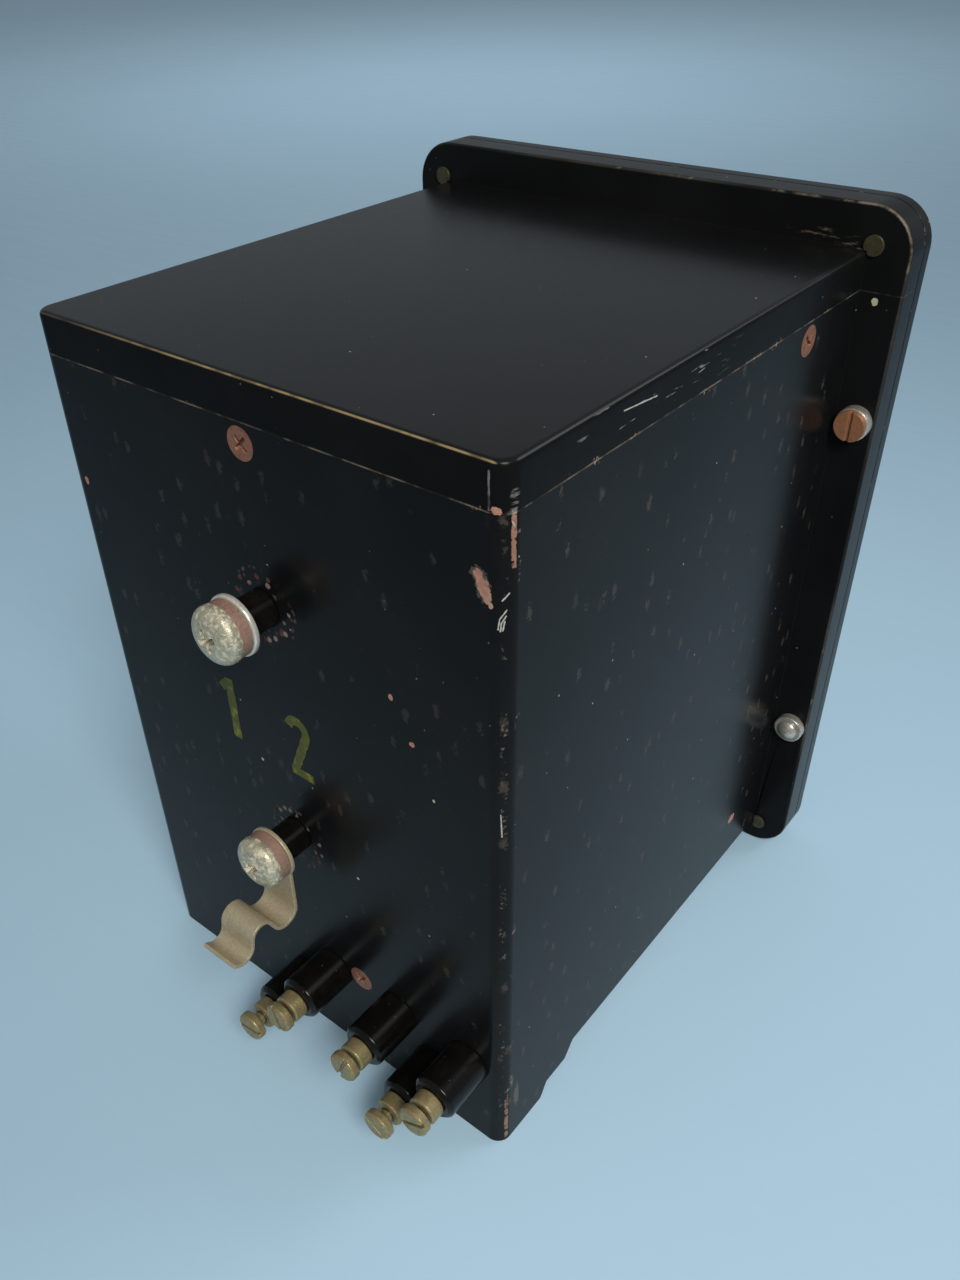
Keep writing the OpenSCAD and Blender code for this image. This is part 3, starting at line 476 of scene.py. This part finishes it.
def enamel(name, gloss):
    """The enamel with all its wear and its painted highlights laid over it, from the faintest to the
    brightest.
    """
    paint = Enamel(name)
    fine, coarse = paint.fine, paint.coarse
    joint, joint_chips = paint.joint(), paint.joint_chips()
    fold_wear, fold_specks = paint.fold_wear()
    corner_painted_highlights = paint.corner_painted_highlights()
    knock = paint.blobs(KNOCKS, 0.7, 1.1)
    putty = paint.blobs(PUTTY, 0.35, 1.0)
    cracked, flake_chance = paint.cracks()
    scratch, strokes = paint.scratches(), paint.strokes()
    speck = paint.spots(8.0, (0.045, 0.02), (0.5, 0.54))
    dust = paint.spots(3.1, (0.06, 0.02), (0.82, 0.86))
    rubbed = joint.max(fold_specks * 0.6).max(paint.rim_front() * 0.5).max(paint.rim_wear() * 0.7)
    bare = joint_chips.max(fold_wear).max(knock)

    haze = paint.drift.ramp(0.35, 0.7) * 0.5 + coarse * 0.3
    colour = paint.mix(haze, (0.0050, 0.0050, 0.0050), (0.0095, 0.0095, 0.0095))
    colour = paint.mix(strokes * 0.42, colour, (0.105, 0.080, 0.065))
    # Painted highlight along the top cover's rear edge
    colour = paint.mix(paint.top_edge_painted_highlight() * 0.75, colour, (0.40, 0.29, 0.14))
    # Partly rub wear, partly a painted highlight round the flange's fold
    colour = paint.mix(paint.flange_fold_wear_and_highlight() * 0.4, colour, (0.12, 0.10, 0.075))
    colour = paint.mix(paint.cover_rub() * 0.7, colour, (0.20, 0.165, 0.10))
    colour = paint.mix(paint.blobs(FRINGES, 1.1, 0.8) * 0.32, colour, (0.24, 0.19, 0.15))
    colour = paint.mix(rubbed, colour, RUBBED)
    crack_tone = paint.mix(flake_chance.ramp(0.6, 0.8), (0.11, 0.035, 0.03), (0.27, 0.19, 0.15))
    colour = paint.mix(cracked * 0.9, colour, crack_tone)
    primer = paint.mix(fine.ramp(0.35, 0.7), BARE, BARE_DARK)
    primer = paint.mix(coarse.ramp(0.45, 0.7) * 0.6, primer, BARE_DUSTY)
    colour = paint.mix(bare, colour, primer)
    colour = paint.mix(putty, colour, (0.46, 0.41, 0.28))
    # Pale marks: scratches, specks and dust, and the painted highlights on the top cover's corner
    colour = paint.mix(scratch.max(speck * 0.7).max(dust * 0.6).max(corner_painted_highlights * 0.8), colour, PALE)

    rough = fine.ramp(0.2, 0.8, 0.19, 0.25) + haze * 0.06
    rough = rough.max(bare * 0.6).max(scratch * 0.6).max(strokes * 0.4).max(putty * 0.6).max(cracked * 0.5)
    paint.set(colour=colour, rough=rough, specular=gloss)
    relief = paint.noise(3.2, 2, seed=2.0) * 0.03 + fine * 0.012
    paint.bump(relief - bare * 0.5 - scratch * 0.25 - cracked * 0.4, 0.12)
    return paint.material


def metal(name, light, dark, tarnish, rough=(0.28, 0.5), grain=2.2, cover=0.5, pits=0.04, metallic=1.0):
    """Metal with blotches of a darker tone and a film of tarnish in its hollows."""
    paint = Paint(name)
    fine = paint.noise(0.6, 5, 0.7)
    blotch = paint.noise(grain, 4, 0.6, seed=4.0)
    film = (blotch + fine * 0.6).ramp(0.95 - cover * 0.4, 1.15 - cover * 0.4)
    colour = paint.mix(fine.ramp(0.3, 0.7), light, dark)
    colour = paint.mix(film, colour, tarnish)
    paint.set(colour=colour, metal=film.ramp(0.0, 1.0, metallic, metallic * 0.35),
              rough=(fine * 0.3 + film * 0.7).ramp(0.1, 0.8, rough[0], rough[1]))
    paint.bump(fine * 0.5 - film * 0.5, pits)
    return paint.material


def threaded(name, light, dark, pitch):
    """Metal with a screw thread's ridges along Y, as a bump, with painted shade in the grooves between them.
    """
    paint = Paint(name)
    fine = paint.noise(0.6, 5, 0.7)
    ridge = (paint.y * (1 / pitch)).math("FRACT")
    ridge = (ridge - 0.5).abs() * 2.0
    # The grooves are darker than the crests: painted shade
    paint.set(colour=paint.mix(ridge.ramp(0.2, 0.9), dark, light), metal=1.0,
              rough=fine.ramp(0.2, 0.8, 0.3, 0.55))
    paint.bump(ridge, pitch * 0.4)
    return paint.material


def plastic(name, tone, worn, rough=(0.2, 0.34), grain=6.0, gloss=0.5):
    """Moulded phenolic with a little dust in its relief."""
    paint = Paint(name)
    fine = paint.noise(0.8, 4)
    drift = paint.noise(grain, 4, seed=6.0)
    dust, chance = paint.cells(1.8)
    dust = dust.ramp(0.10, 0.04) * chance.ramp(0.72, 0.76)
    colour = paint.mix(drift.ramp(0.45, 0.8) * 0.7, tone, worn)
    paint.set(colour=paint.mix(dust * 0.5, colour, (0.22, 0.20, 0.18)),
              rough=(fine * 0.4 + drift * 0.6).ramp(0.3, 0.7, rough[0], rough[1]), specular=gloss)
    paint.bump(fine, 0.02)
    return paint.material


def laminate(name, tone, dark):
    """Pressed board with a crossed weave."""
    paint = Paint(name)
    warp = paint.noise(1.4, 3, where=paint.stretched((1, 1, 0.1)))
    weft = paint.noise(1.4, 3, where=paint.stretched((0.1, 1, 1)), seed=2.0)
    weave = (warp + weft) * 0.5
    paint.set(colour=paint.mix(weave.ramp(0.4, 0.6), dark, tone), rough=weave.ramp(0.3, 0.7, 0.42, 0.6))
    paint.bump(weave, 0.05)
    return paint.material


def felt():
    paint = Paint("gasket_felt")
    hair = paint.noise(0.35, 5, 0.8)
    paint.set(colour=paint.mix(hair.ramp(0.3, 0.7), (0.02, 0.02, 0.02), (0.07, 0.065, 0.06)),
              rough=0.95, sheen=0.4)
    paint.bump(hair, 0.15)
    return paint.material


def glass():
    paint = Paint("door_glass")
    smear = paint.noise(26, 4, 0.6)
    paint.set(colour=(0.93, 0.97, 0.95), rough=smear.ramp(0.45, 0.75, 0.01, 0.07),
              transmission=1.0, ior=1.5)
    paint.bump(paint.noise(30, 2), 0.02)
    return paint.material


def stencil():
    """Yellow-green brushed paint, thin in places so that the enamel shows through."""
    paint = Paint("stencil_paint")
    brush = paint.noise(1.1, 4, 0.6, where=paint.stretched((1.0, 1.0, 0.25)))
    thin = paint.noise(3.0, 4, 0.65, seed=9.0)
    tone = paint.mix(brush.ramp(0.35, 0.65), (0.17, 0.165, 0.016), (0.30, 0.28, 0.03))
    paint.set(colour=paint.mix((thin + brush * 0.5).ramp(0.74, 0.56, 0.25, 1.0), (0.02, 0.03, 0.01), tone),
              rough=brush.ramp(0.3, 0.7, 0.35, 0.5), specular=0.12)
    paint.bump(brush, 0.03)
    return paint.material


def winding():
    """Varnished copper wire: the turns are in the mesh, and the varnish's tone is blotched by noise."""
    paint = Paint("coil_winding")
    pool = paint.noise(4, 4)
    paint.set(colour=paint.mix(pool.ramp(0.35, 0.7), (0.42, 0.16, 0.06), (0.22, 0.08, 0.035)), metal=0.55,
              rough=pool.ramp(0.3, 0.7, 0.22, 0.4))
    paint.bump(pool, 0.03)
    return paint.material


MATERIAL = {
    "case_enamel": enamel("black_enamel", 0.085),
    "screw_copper": metal("copper_plate", (0.30, 0.125, 0.07), (0.22, 0.09, 0.05), (0.14, 0.06, 0.04),
                          (0.45, 0.65), cover=0.35, metallic=0.3),
    "plug_brass": metal("dull_brass", (0.085, 0.07, 0.03), (0.05, 0.043, 0.02), (0.02, 0.017, 0.009),
                        (0.4, 0.6), metallic=0.5),
    "nickel": metal("dull_nickel", (0.66, 0.62, 0.54), (0.42, 0.38, 0.32), (0.20, 0.15, 0.11),
                    (0.3, 0.5), cover=0.3, metallic=0.7),
    "bushing_black": plastic("black_phenolic", (0.004, 0.0035, 0.003), (0.010, 0.0085, 0.0075),
                             (0.16, 0.26), gloss=0.22),
    "screw_zinc": metal("weathered_zinc", (0.58, 0.53, 0.39), (0.30, 0.28, 0.20), (0.66, 0.585, 0.41),
                        (0.34, 0.6), grain=1.3, pits=0.12, metallic=0.5),
    "washer_bright": metal("bright_zinc", (0.74, 0.72, 0.62), (0.55, 0.53, 0.44), (0.34, 0.32, 0.25),
                           (0.26, 0.45), cover=0.2, metallic=0.45),
    "washer_brown": metal("brown_steel", (0.36, 0.22, 0.165), (0.27, 0.16, 0.115), (0.20, 0.12, 0.085),
                          (0.5, 0.68), cover=0.4, metallic=0.2),
    "clip_tin": metal("dull_tin", (0.50, 0.425, 0.285), (0.38, 0.315, 0.20), (0.33, 0.265, 0.16),
                      (0.42, 0.6), grain=1.6, pits=0.05, metallic=0.35),
    "terminal_brass": metal("olive_brass", (0.385, 0.315, 0.15), (0.22, 0.195, 0.09),
                            (0.235, 0.155, 0.075), (0.36, 0.58), grain=1.4, pits=0.06, metallic=0.55),
    "phenolic": laminate("phenolic_board", (0.10, 0.045, 0.022), (0.055, 0.026, 0.014)),
    "copper": metal("contact_copper", (0.78, 0.42, 0.28), (0.62, 0.30, 0.18), (0.30, 0.14, 0.08),
                    (0.22, 0.42), cover=0.2),
    "steel": metal("plated_steel", (0.55, 0.55, 0.54), (0.38, 0.38, 0.38), (0.22, 0.21, 0.19),
                   (0.22, 0.45), cover=0.25),
    "flag_orange": plastic("orange_enamel", (0.75, 0.20, 0.03), (0.55, 0.13, 0.02), (0.3, 0.45)),
    "wire_red": plastic("varnished_wire", (0.26, 0.03, 0.02), (0.14, 0.02, 0.015), (0.25, 0.4)),
    "glass": glass(),
    "gasket_felt": felt(),
    "button_red": plastic("red_phenolic", (0.30, 0.018, 0.012), (0.16, 0.012, 0.01), (0.16, 0.3)),
    "plate": metal("blank_aluminium", (0.66, 0.66, 0.64), (0.55, 0.55, 0.54), (0.36, 0.36, 0.34),
                   (0.3, 0.45), cover=0.15),
}
# Copies of the enamel whose specular level brightens the top cover's top and darkens its skirt: painted light
# and painted shade
ENAMEL_TOP_BRIGHTENED = enamel("black_enamel_top_brightened", 0.2)
ENAMEL_SKIRT_DARKENED = enamel("black_enamel_skirt_darkened", 0.035)
STENCIL = stencil()
WINDING = winding()
THREAD = threaded("threaded_brass", (0.36, 0.30, 0.15), (0.10, 0.08, 0.04), 0.8)
STUD = metal("stud_copper", (0.38, 0.16, 0.075), (0.28, 0.115, 0.055), (0.19, 0.09, 0.05), (0.45, 0.62),
             cover=0.3, metallic=0.35)


# ---------------------------------------------------------------- pieces

def add_piece(name, bm, body, slot, material=None, replaces=()):
    """Makes an object of bm, which it frees, and hangs it on a body. Its large flat faces stay flat."""
    bmesh.ops.recalc_face_normals(bm, faces=bm.faces)
    for face in bm.faces:
        face.smooth = True
    for edge in bm.edges:
        if len(edge.link_faces) == 2 and edge.calc_face_angle(0) > CREASE:
            edge.smooth = False
    mesh = bpy.data.meshes.new(name)
    bm.to_mesh(mesh)
    bm.free()
    mesh.materials.append(material or MATERIAL[slot])
    piece = bpy.data.objects.new(name, mesh)
    bpy.context.scene.collection.objects.link(piece)
    normals = piece.modifiers.new("flat_faces_stay_flat", "WEIGHTED_NORMAL")
    normals.mode = "FACE_AREA"
    normals.keep_sharp = True
    normals.weight = 50
    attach(piece, body)
    if replaces:
        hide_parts(*replaces)
    return piece


def cad_mesh(node):
    """The CAD node's mesh with its flat faces whole again."""
    bm = bmesh.new()
    bm.from_mesh(frame["nodes"][node].data)
    bmesh.ops.remove_doubles(bm, verts=bm.verts, dist=MERGE)
    bmesh.ops.dissolve_limit(bm, angle_limit=math.radians(0.3), verts=bm.verts, edges=bm.edges)
    return bm


def round_edges(bm, radius, segments=3, chosen=None):
    """Rounds the sharp edges, or those of them whose middle, in millimetres, chosen accepts."""
    sharp = [e for e in bm.edges if len(e.link_faces) == 2 and e.calc_face_angle(0) > SHARP]
    if chosen:
        sharp = [e for e in sharp if chosen((e.verts[0].co + e.verts[1].co) / (2 * MM))]
    if sharp:
        bmesh.ops.bevel(bm, geom=sharp, offset=radius * MM, offset_type="OFFSET", segments=segments,
                        profile=0.5, affect="EDGES", clamp_overlap=False)


def softened(node, radius, segments=3, steps=(), material=None):
    """A copy of a CAD node with rounded edges, which takes its place. Steps round chosen edges first."""
    bm = cad_mesh(node)
    for step_radius, step_segments, chosen in steps:
        round_edges(bm, step_radius, step_segments, chosen)
    round_edges(bm, radius, segments)
    return add_piece(node + "_piece", bm, BODY_OF[node], SLOT_OF[node], material, [node])


def lathe(bm, profile, place, axis=(0, 1, 0), turns=64):
    """Turns a closed profile of (radius, height) in millimetres about an axis through place."""
    to_axis = Vector((0, 0, 1)).rotation_difference(Vector(axis)).to_matrix()
    rings = []
    for step in range(turns):
        angle = math.tau * step / turns
        rings.append([bm.verts.new(Vector(place) * MM + to_axis @ Vector(
            (r * math.cos(angle), r * math.sin(angle), h)) * MM) for r, h in profile])
    count = len(profile)
    for a, b in zip(rings, rings[1:] + rings[:1]):
        for i in range(count):
            j = (i + 1) % count
            corners = [a[i], b[i], b[j], a[j]]
            bm.faces.new(corners)
    bmesh.ops.remove_doubles(bm, verts=bm.verts, dist=1e-7)


def arc(cx, cy, radius, start, end, steps):
    """Points of an arc in a profile, angles in degrees."""
    angles = [math.radians(start + (end - start) * i / steps) for i in range(steps + 1)]
    return [(cx + radius * math.cos(a), cy + radius * math.sin(a)) for a in angles]


def helix_tube(bm, place, axis, radius, height, turns, wire):
    """A wire whose own radius is wire, wound on a cylinder from place to that height along the axis."""
    per_turn, sides = 28, 10
    to_axis = Vector((0, 0, 1)).rotation_difference(Vector(axis)).to_matrix()
    steps = turns * per_turn
    rings = []
    for i in range(steps + 1):
        a = math.tau * turns * i / steps
        level = wire + (height - 2 * wire) * i / steps
        ring = []
        for j in range(sides):
            b = math.tau * j / sides
            r = radius + wire * math.cos(b)
            ring.append(bm.verts.new(Vector(place) * MM + to_axis @ Vector(
                (r * math.cos(a), r * math.sin(a), level + wire * math.sin(b))) * MM))
        rings.append(ring)
    for a, b in zip(rings, rings[1:]):
        for j in range(sides):
            k = (j + 1) % sides
            bm.faces.new([a[j], b[j], b[k], a[k]])
    bm.faces.new(rings[0][::-1])
    bm.faces.new(rings[-1])


def boolean_cut(bm, cutter):
    """Cuts the closed mesh cutter out of bm and returns the result. Both are freed."""
    objects = []
    for name, source in (("cut_body", bm), ("cut_tool", cutter)):
        bmesh.ops.recalc_face_normals(source, faces=source.faces)
        mesh = bpy.data.meshes.new(name)
        source.to_mesh(mesh)
        source.free()
        thing = bpy.data.objects.new(name, mesh)
        bpy.context.scene.collection.objects.link(thing)
        objects.append(thing)
    body, tool = objects
    modifier = body.modifiers.new("cut", "BOOLEAN")
    modifier.operation = "DIFFERENCE"
    modifier.solver = "EXACT"
    modifier.object = tool
    evaluated = body.evaluated_get(bpy.context.evaluated_depsgraph_get())
    result = bmesh.new()
    result.from_mesh(evaluated.to_mesh())
    evaluated.to_mesh_clear()
    for thing in objects:
        bpy.data.objects.remove(thing)
    bmesh.ops.remove_doubles(result, verts=result.verts, dist=1e-7)
    return result


def prism(bm, outline, low, high, taper):
    """Extrudes an XZ outline in millimetres along Y, from low to high, where it is scaled by taper."""
    rings = []
    for y, scale in ((low, taper), (high, 1.0)):
        rings.append([bm.verts.new((x * scale * MM, y * MM, z * scale * MM)) for x, z in outline])
    count = len(outline)
    for i in range(count):
        j = (i + 1) % count
        bm.faces.new([rings[0][i], rings[1][i], rings[1][j], rings[0][j]])
    bm.faces.new(rings[0][::-1])
    bm.faces.new(rings[1])


def cross_recess(radius, width, depth, top, turn):
    """A tapered cross, as a cutter, whose mouth is at the height top."""
    bm = bmesh.new()
    half = width / 2
    arm = [(radius, -half), (radius, half), (half, half)]
    plus = []
    for _ in range(4):
        plus += arm
        arm = [(-z, x) for x, z in arm]
    prism(bm, plus, top - depth, top + 1.0, 0.45)
    bmesh.ops.rotate(bm, verts=bm.verts, matrix=Matrix.Rotation(math.radians(turn), 3, "Y"))
    return bm


def moved(bm, place):
    """The same bmesh, moved by that many millimetres."""
    bmesh.ops.translate(bm, verts=bm.verts, vec=Vector(place) * MM)
    return bm


def joined(parts):
    """One bmesh of several, which are freed."""
    whole = bmesh.new()
    for part in parts:
        mesh = bpy.data.meshes.new("part")
        part.to_mesh(mesh)
        part.free()
        whole.from_mesh(mesh)
        bpy.data.meshes.remove(mesh)
    return whole


def solid_groups(node):
    """The boxes of a CAD node's separate solids, as (low, high) in millimetres, the highest first."""
    bm = bmesh.new()
    bm.from_mesh(frame["nodes"][node].data)
    bmesh.ops.remove_doubles(bm, verts=bm.verts, dist=MERGE)
    seen, groups = set(), []
    for start in bm.verts:
        if start in seen:
            continue
        stack, members = [start], []
        seen.add(start)
        while stack:
            v = stack.pop()
            members.append(v.co / MM)
            for e in v.link_edges:
                other = e.other_vert(v)
                if other not in seen:
                    seen.add(other)
                    stack.append(other)
        low = Vector([min(c[i] for c in members) for i in range(3)])
        high = Vector([max(c[i] for c in members) for i in range(3)])
        groups.append((low, high))
    bm.free()
    return sorted(groups, key=lambda g: -g[1].z)


# ---------------------------------------------------------------- case

def on_outline(c):
    return abs(c.x) > FLANGE_W - EDGE_BAND or abs(c.z) > FLANGE_H - EDGE_BAND


def make_case():
    """The case, and the top cover, whose top has a more specular copy of the enamel as painted light and whose
    skirt a less specular copy as painted shade.
    """
    def on_flange_back(c):
        return abs(c.y) < NEAR and on_outline(c)

    def on_top(c):
        return abs(c.z - CASE_TOP) < NEAR and c.y > behind_flange

    behind_flange = 0.5
    softened("case_shell", 0.16, 2, [(0.9, 4, on_flange_back)])
    cover = softened("top_cover", 0.16, 2, [(1.5, 5, on_top), (0.9, 4, on_flange_back)])
    cover.data.materials.append(ENAMEL_TOP_BRIGHTENED)
    cover.data.materials.append(ENAMEL_SKIRT_DARKENED)
    for face in cover.data.polygons:
        middle = face.center / MM
        if middle.y > behind_flange and middle.z > SEAM_Z:
            face.material_index = 1 if face.normal.z > 0.7 else 2


def make_case_screws():
    softened("case_screws", 0.12, 2)


# ---------------------------------------------------------------- line terminals

PAN_HEAD_H = 5.0
LOCK_HOLE_R = 4.15


def pan_head(turn):
    """A pan head with its back at y = 0 and a cross recess. Its crown is fuller than an ellipse."""
    r, rim, under, fullness = 7.8, 1.0, 0.3, 0.85
    angles = [math.radians(5.6 * i) for i in range(16)]
    crown = [(r * math.sin(a), rim + (PAN_HEAD_H - rim) * math.cos(a) ** fullness) for a in angles]
    profile = crown + [(r, rim)] + arc(r - under, under, under, 0, -90, 3) + [(0, 0)]
    bm = bmesh.new()
    lathe(bm, profile, (0, 0, 0))
    return boolean_cut(bm, cross_recess(3.9, 1.9, 3.1, PAN_HEAD_H, turn))


def screw_shank(bm, low, high):
    """The plain shank of a line screw, chamfered at its inner end and let 0.2 mm into the head."""
    r, chamfer, top = 3.97, 0.6, high.y - PAN_HEAD_H + 0.2
    profile = [(0, low.y), (3.4, low.y), (r, low.y + chamfer), (r, top), (0, top)]
    lathe(bm, profile, (0, 0, (low.z + high.z) / 2), turns=40)


def split_ring(outer, inner, thick, turn):
    """A spring lock washer with its slanted split, its back at y = 0. Angles are in degrees."""
    bm = bmesh.new()
    gap, slant, steps, soft = 9.0, 8.0, 60, 0.3
    section = []
    for cx, cy, start in ((outer - soft, thick - soft, 90), (outer - soft, soft, 0),
                          (inner + soft, soft, -90), (inner + soft, thick - soft, -180)):
        section += arc(cx, cy, soft, start, start - 90, 3)
    rings = []
    for i in range(steps + 1):
        ring = []
        for r, h in section:
            a = math.radians(turn + gap / 2 + (h / thick - 0.5) * slant + (360 - gap) * (i / steps))
            ring.append(bm.verts.new((r * MM * math.cos(a), h * MM, r * MM * math.sin(a))))
        rings.append(ring)
    count = len(section)
    for a, b in zip(rings, rings[1:]):
        for i in range(count):
            j = (i + 1) % count
            bm.faces.new([a[i], b[i], b[j], a[j]])
    bm.faces.new(rings[0][::-1])
    bm.faces.new(rings[-1])
    return bm


def make_line_terminals():
    softened("line_bushings", 0.3, 3)
    softened("line_washer", 0.3, 3)
    softened("spring_clip", 0.28, 3)
    heads, shanks = [], bmesh.new()
    for (low, high), turn in zip(solid_groups("line_screws"), (24, 38)):
        heads.append(moved(pan_head(turn), (0, high.y - PAN_HEAD_H, (low.z + high.z) / 2)))
        screw_shank(shanks, low, high)
    add_piece("line_screw_heads", joined(heads + [shanks]), "case", "screw_zinc", replaces=["line_screws"])
    washers = []
    for (low, high), turn in zip(solid_groups("lock_washers"), (300, 255)):
        ring = split_ring((high.z - low.z) / 2, LOCK_HOLE_R, high.y - low.y, turn)
        washers.append(moved(ring, (0, low.y, (low.z + high.z) / 2)))
    add_piece("split_washers", joined(washers), "case", "washer_brown", replaces=["lock_washers"])


# ---------------------------------------------------------------- other outside pieces

def make_control_terminals():
    softened("control_bushings", 0.35, 3)
    softened("control_nuts", 0.2, 3)
    softened("control_screws", 0.22, 3)
    softened("control_studs", 0.1, 2, material=THREAD)


def make_flange_studs():
    for node in ("upper_collars", "lower_collars", "lower_studs", "corner_plugs"):
        softened(node, 0.22, 3)
    softened("upper_studs", 0.22, 3, material=STUD)


def dense(points):
    """The line through points, with a point about every step."""
    step = 0.8
    result = []
    for a, b in zip(points, points[1:]):
        count = max(1, round(math.dist(a, b) / step))
        for i in range(count):
            result.append((a[0] + (b[0] - a[0]) * i / count, a[1] + (b[1] - a[1]) * i / count))
    return result + [points[-1]]


def brush_stroke(bm, points, width, level):
    """A thin closed strip of paint through points (x, z), whose sides are a little ragged."""
    thick = 0.05
    rings = []
    for i, p in enumerate(points):
        a, b = points[max(i - 1, 0)], points[min(i + 1, len(points) - 1)]
        along = Vector((b[0] - a[0], b[1] - a[1])).normalized()
        side = Vector((-along.y, along.x)) * width / 2 * random.uniform(0.9, 1.06)
        left, right = (p[0] + side.x, p[1] + side.y), (p[0] - side.x, p[1] - side.y)
        corners = [(left[0], level, left[1]), (right[0], level, right[1]),
                   (right[0], level + thick, right[1]), (left[0], level + thick, left[1])]
        rings.append([bm.verts.new(Vector(c) * MM) for c in corners])
    for a, b in zip(rings, rings[1:]):
        for i in range(4):
            j = (i + 1) % 4
            bm.faces.new([a[i], b[i], b[j], a[j]])
    bm.faces.new(rings[0][::-1])
    bm.faces.new(rings[-1])


def numeral(name, strokes, x0, z0):
    """Brush strokes on the terminal wall, where +X runs to a reader's left, each over the one before."""
    lift, layer = 0.01, 0.012
    bm = bmesh.new()
    for order, (points, width) in enumerate(strokes):
        places = [(x0 - u, z0 + v) for u, v in dense(points)]
        brush_stroke(bm, places, width, CASE_D + lift + layer * order)
    add_piece(name, bm, "case", "case_enamel", STENCIL)


def make_terminal_marks():
    """Plain numerals beside the two line terminals."""
    random.seed(11)
    one = [([(1.4, 16.6), (4.4, 19.6)], 2.7), ([(4.9, 20.8), (4.9, 0.2)], 3.3)]
    angles = [math.radians(a) for a in range(165, -45, -15)]
    bend = [(4.0 + 3.2 * math.cos(a), 16.2 + 3.4 * math.sin(a)) for a in angles]
    two = [(bend + [(1.6, 2.4)], 2.9), ([(0.0, 1.5), (8.2, 1.5)], 3.0)]
    numeral("mark_one", one, 24.5, -5.5)
    numeral("mark_two", two, -1.8, -6.5)


# ---------------------------------------------------------------- door and inside

def make_door():
    front = BOX["door_frame"][0][1] + NEAR

    def front_edge(c):
        return c.y < front and on_outline(c)

    def window_edge(c):
        return c.y < front and not on_outline(c)

    softened("door_frame", 0.16, 2, [(1.2, 4, front_edge), (0.5, 3, window_edge)])
    softened("door_glass", 0.25, 2)
    for node, radius in (
            ("latch_knob", 0.5), ("latch_cam", 0.2), ("latch_keeper", 0.15), ("door_hinges", 0.2),
            ("case_hinges", 0.2), ("hinge_pins", 0.25), ("reset_button", 0.3), ("reset_ferrule", 0.2),
            ("blank_plate", 0.12), ("plate_rivets", 0.15), ("glass_clips", 0.15), ("clip_screws", 0.15),
            ("door_gasket", 0.6)):
        softened(node, radius)
    low, high = BOX["reset_spring"]
    bm = bmesh.new()
    helix_tube(bm, ((low[0] + high[0]) / 2, low[1], (low[2] + high[2]) / 2), (0, 1, 0), radius=3.7,
               height=high[1] - low[1], turns=5, wire=0.35)
    add_piece("reset_spring_wire", bm, "reset", "steel", replaces=["reset_spring"])


def make_trip_coil():
    """The trip coil's winding, a ridge for each turn."""
    low, high = BOX["trip_coil"]
    turns, wire, outer, inner = 27, 0.62, 18.9, 9.1
    pitch = (high[2] - low[2]) / turns
    ridges = []
    for i in range(turns):
        ridges += arc(outer - wire + 0.6, low[2] + pitch * (i + 0.5), wire, -80, 80, 6)
    bm = bmesh.new()
    centre = ((low[0] + high[0]) / 2, (low[1] + high[1]) / 2, 0)
    lathe(bm, [(inner, low[2])] + ridges + [(inner, high[2])], centre, (0, 0, 1), 96)
    add_piece("coil_turns", bm, "case", "copper", WINDING, ["trip_coil"])


def make_inside():
    for node, radius in (
            ("base_panel", 0.5), ("fixed_jaw", 0.25), ("hinge_jaw", 0.25), ("terminal_block", 0.35),
            ("block_screws", 0.15), ("pivot_pin", 0.3), ("switch_blade", 0.35), ("handle_lever", 0.5),
            ("handle_grip", 0.5), ("magnet_yoke", 0.35), ("magnet_core", 0.3), ("coil_former", 0.3),
            ("bus_straps", 0.3), ("armature", 0.3), ("armature_pin", 0.25), ("target_flag", 0.2),
            ("flag_pin", 0.2), ("flag_bracket", 0.15), ("aux_block", 0.4), ("aux_leaves", 0.1)):
        softened(node, radius)
    make_trip_coil()
    low, high = BOX["armature_spring"]
    bm = bmesh.new()
    helix_tube(bm, ((low[0] + high[0]) / 2, (low[1] + high[1]) / 2, low[2]), (0, 0, 1), radius=2.2,
               height=high[2] - low[2], turns=11, wire=0.38)
    add_piece("armature_spring_wire", bm, "case", "steel", replaces=["armature_spring"])


def carry_over():
    """Gives every CAD node that still shows its slot's material."""
    for node, thing in frame["nodes"].items():
        if not thing.hide_render:
            thing.data.materials.clear()
            thing.data.materials.append(MATERIAL[SLOT_OF[node]])
            for face in thing.data.polygons:
                face.use_smooth = False


make_camera()
make_stage()
make_case()
make_case_screws()
make_line_terminals()
make_control_terminals()
make_flange_studs()
make_terminal_marks()
make_door()
make_inside()
carry_over()
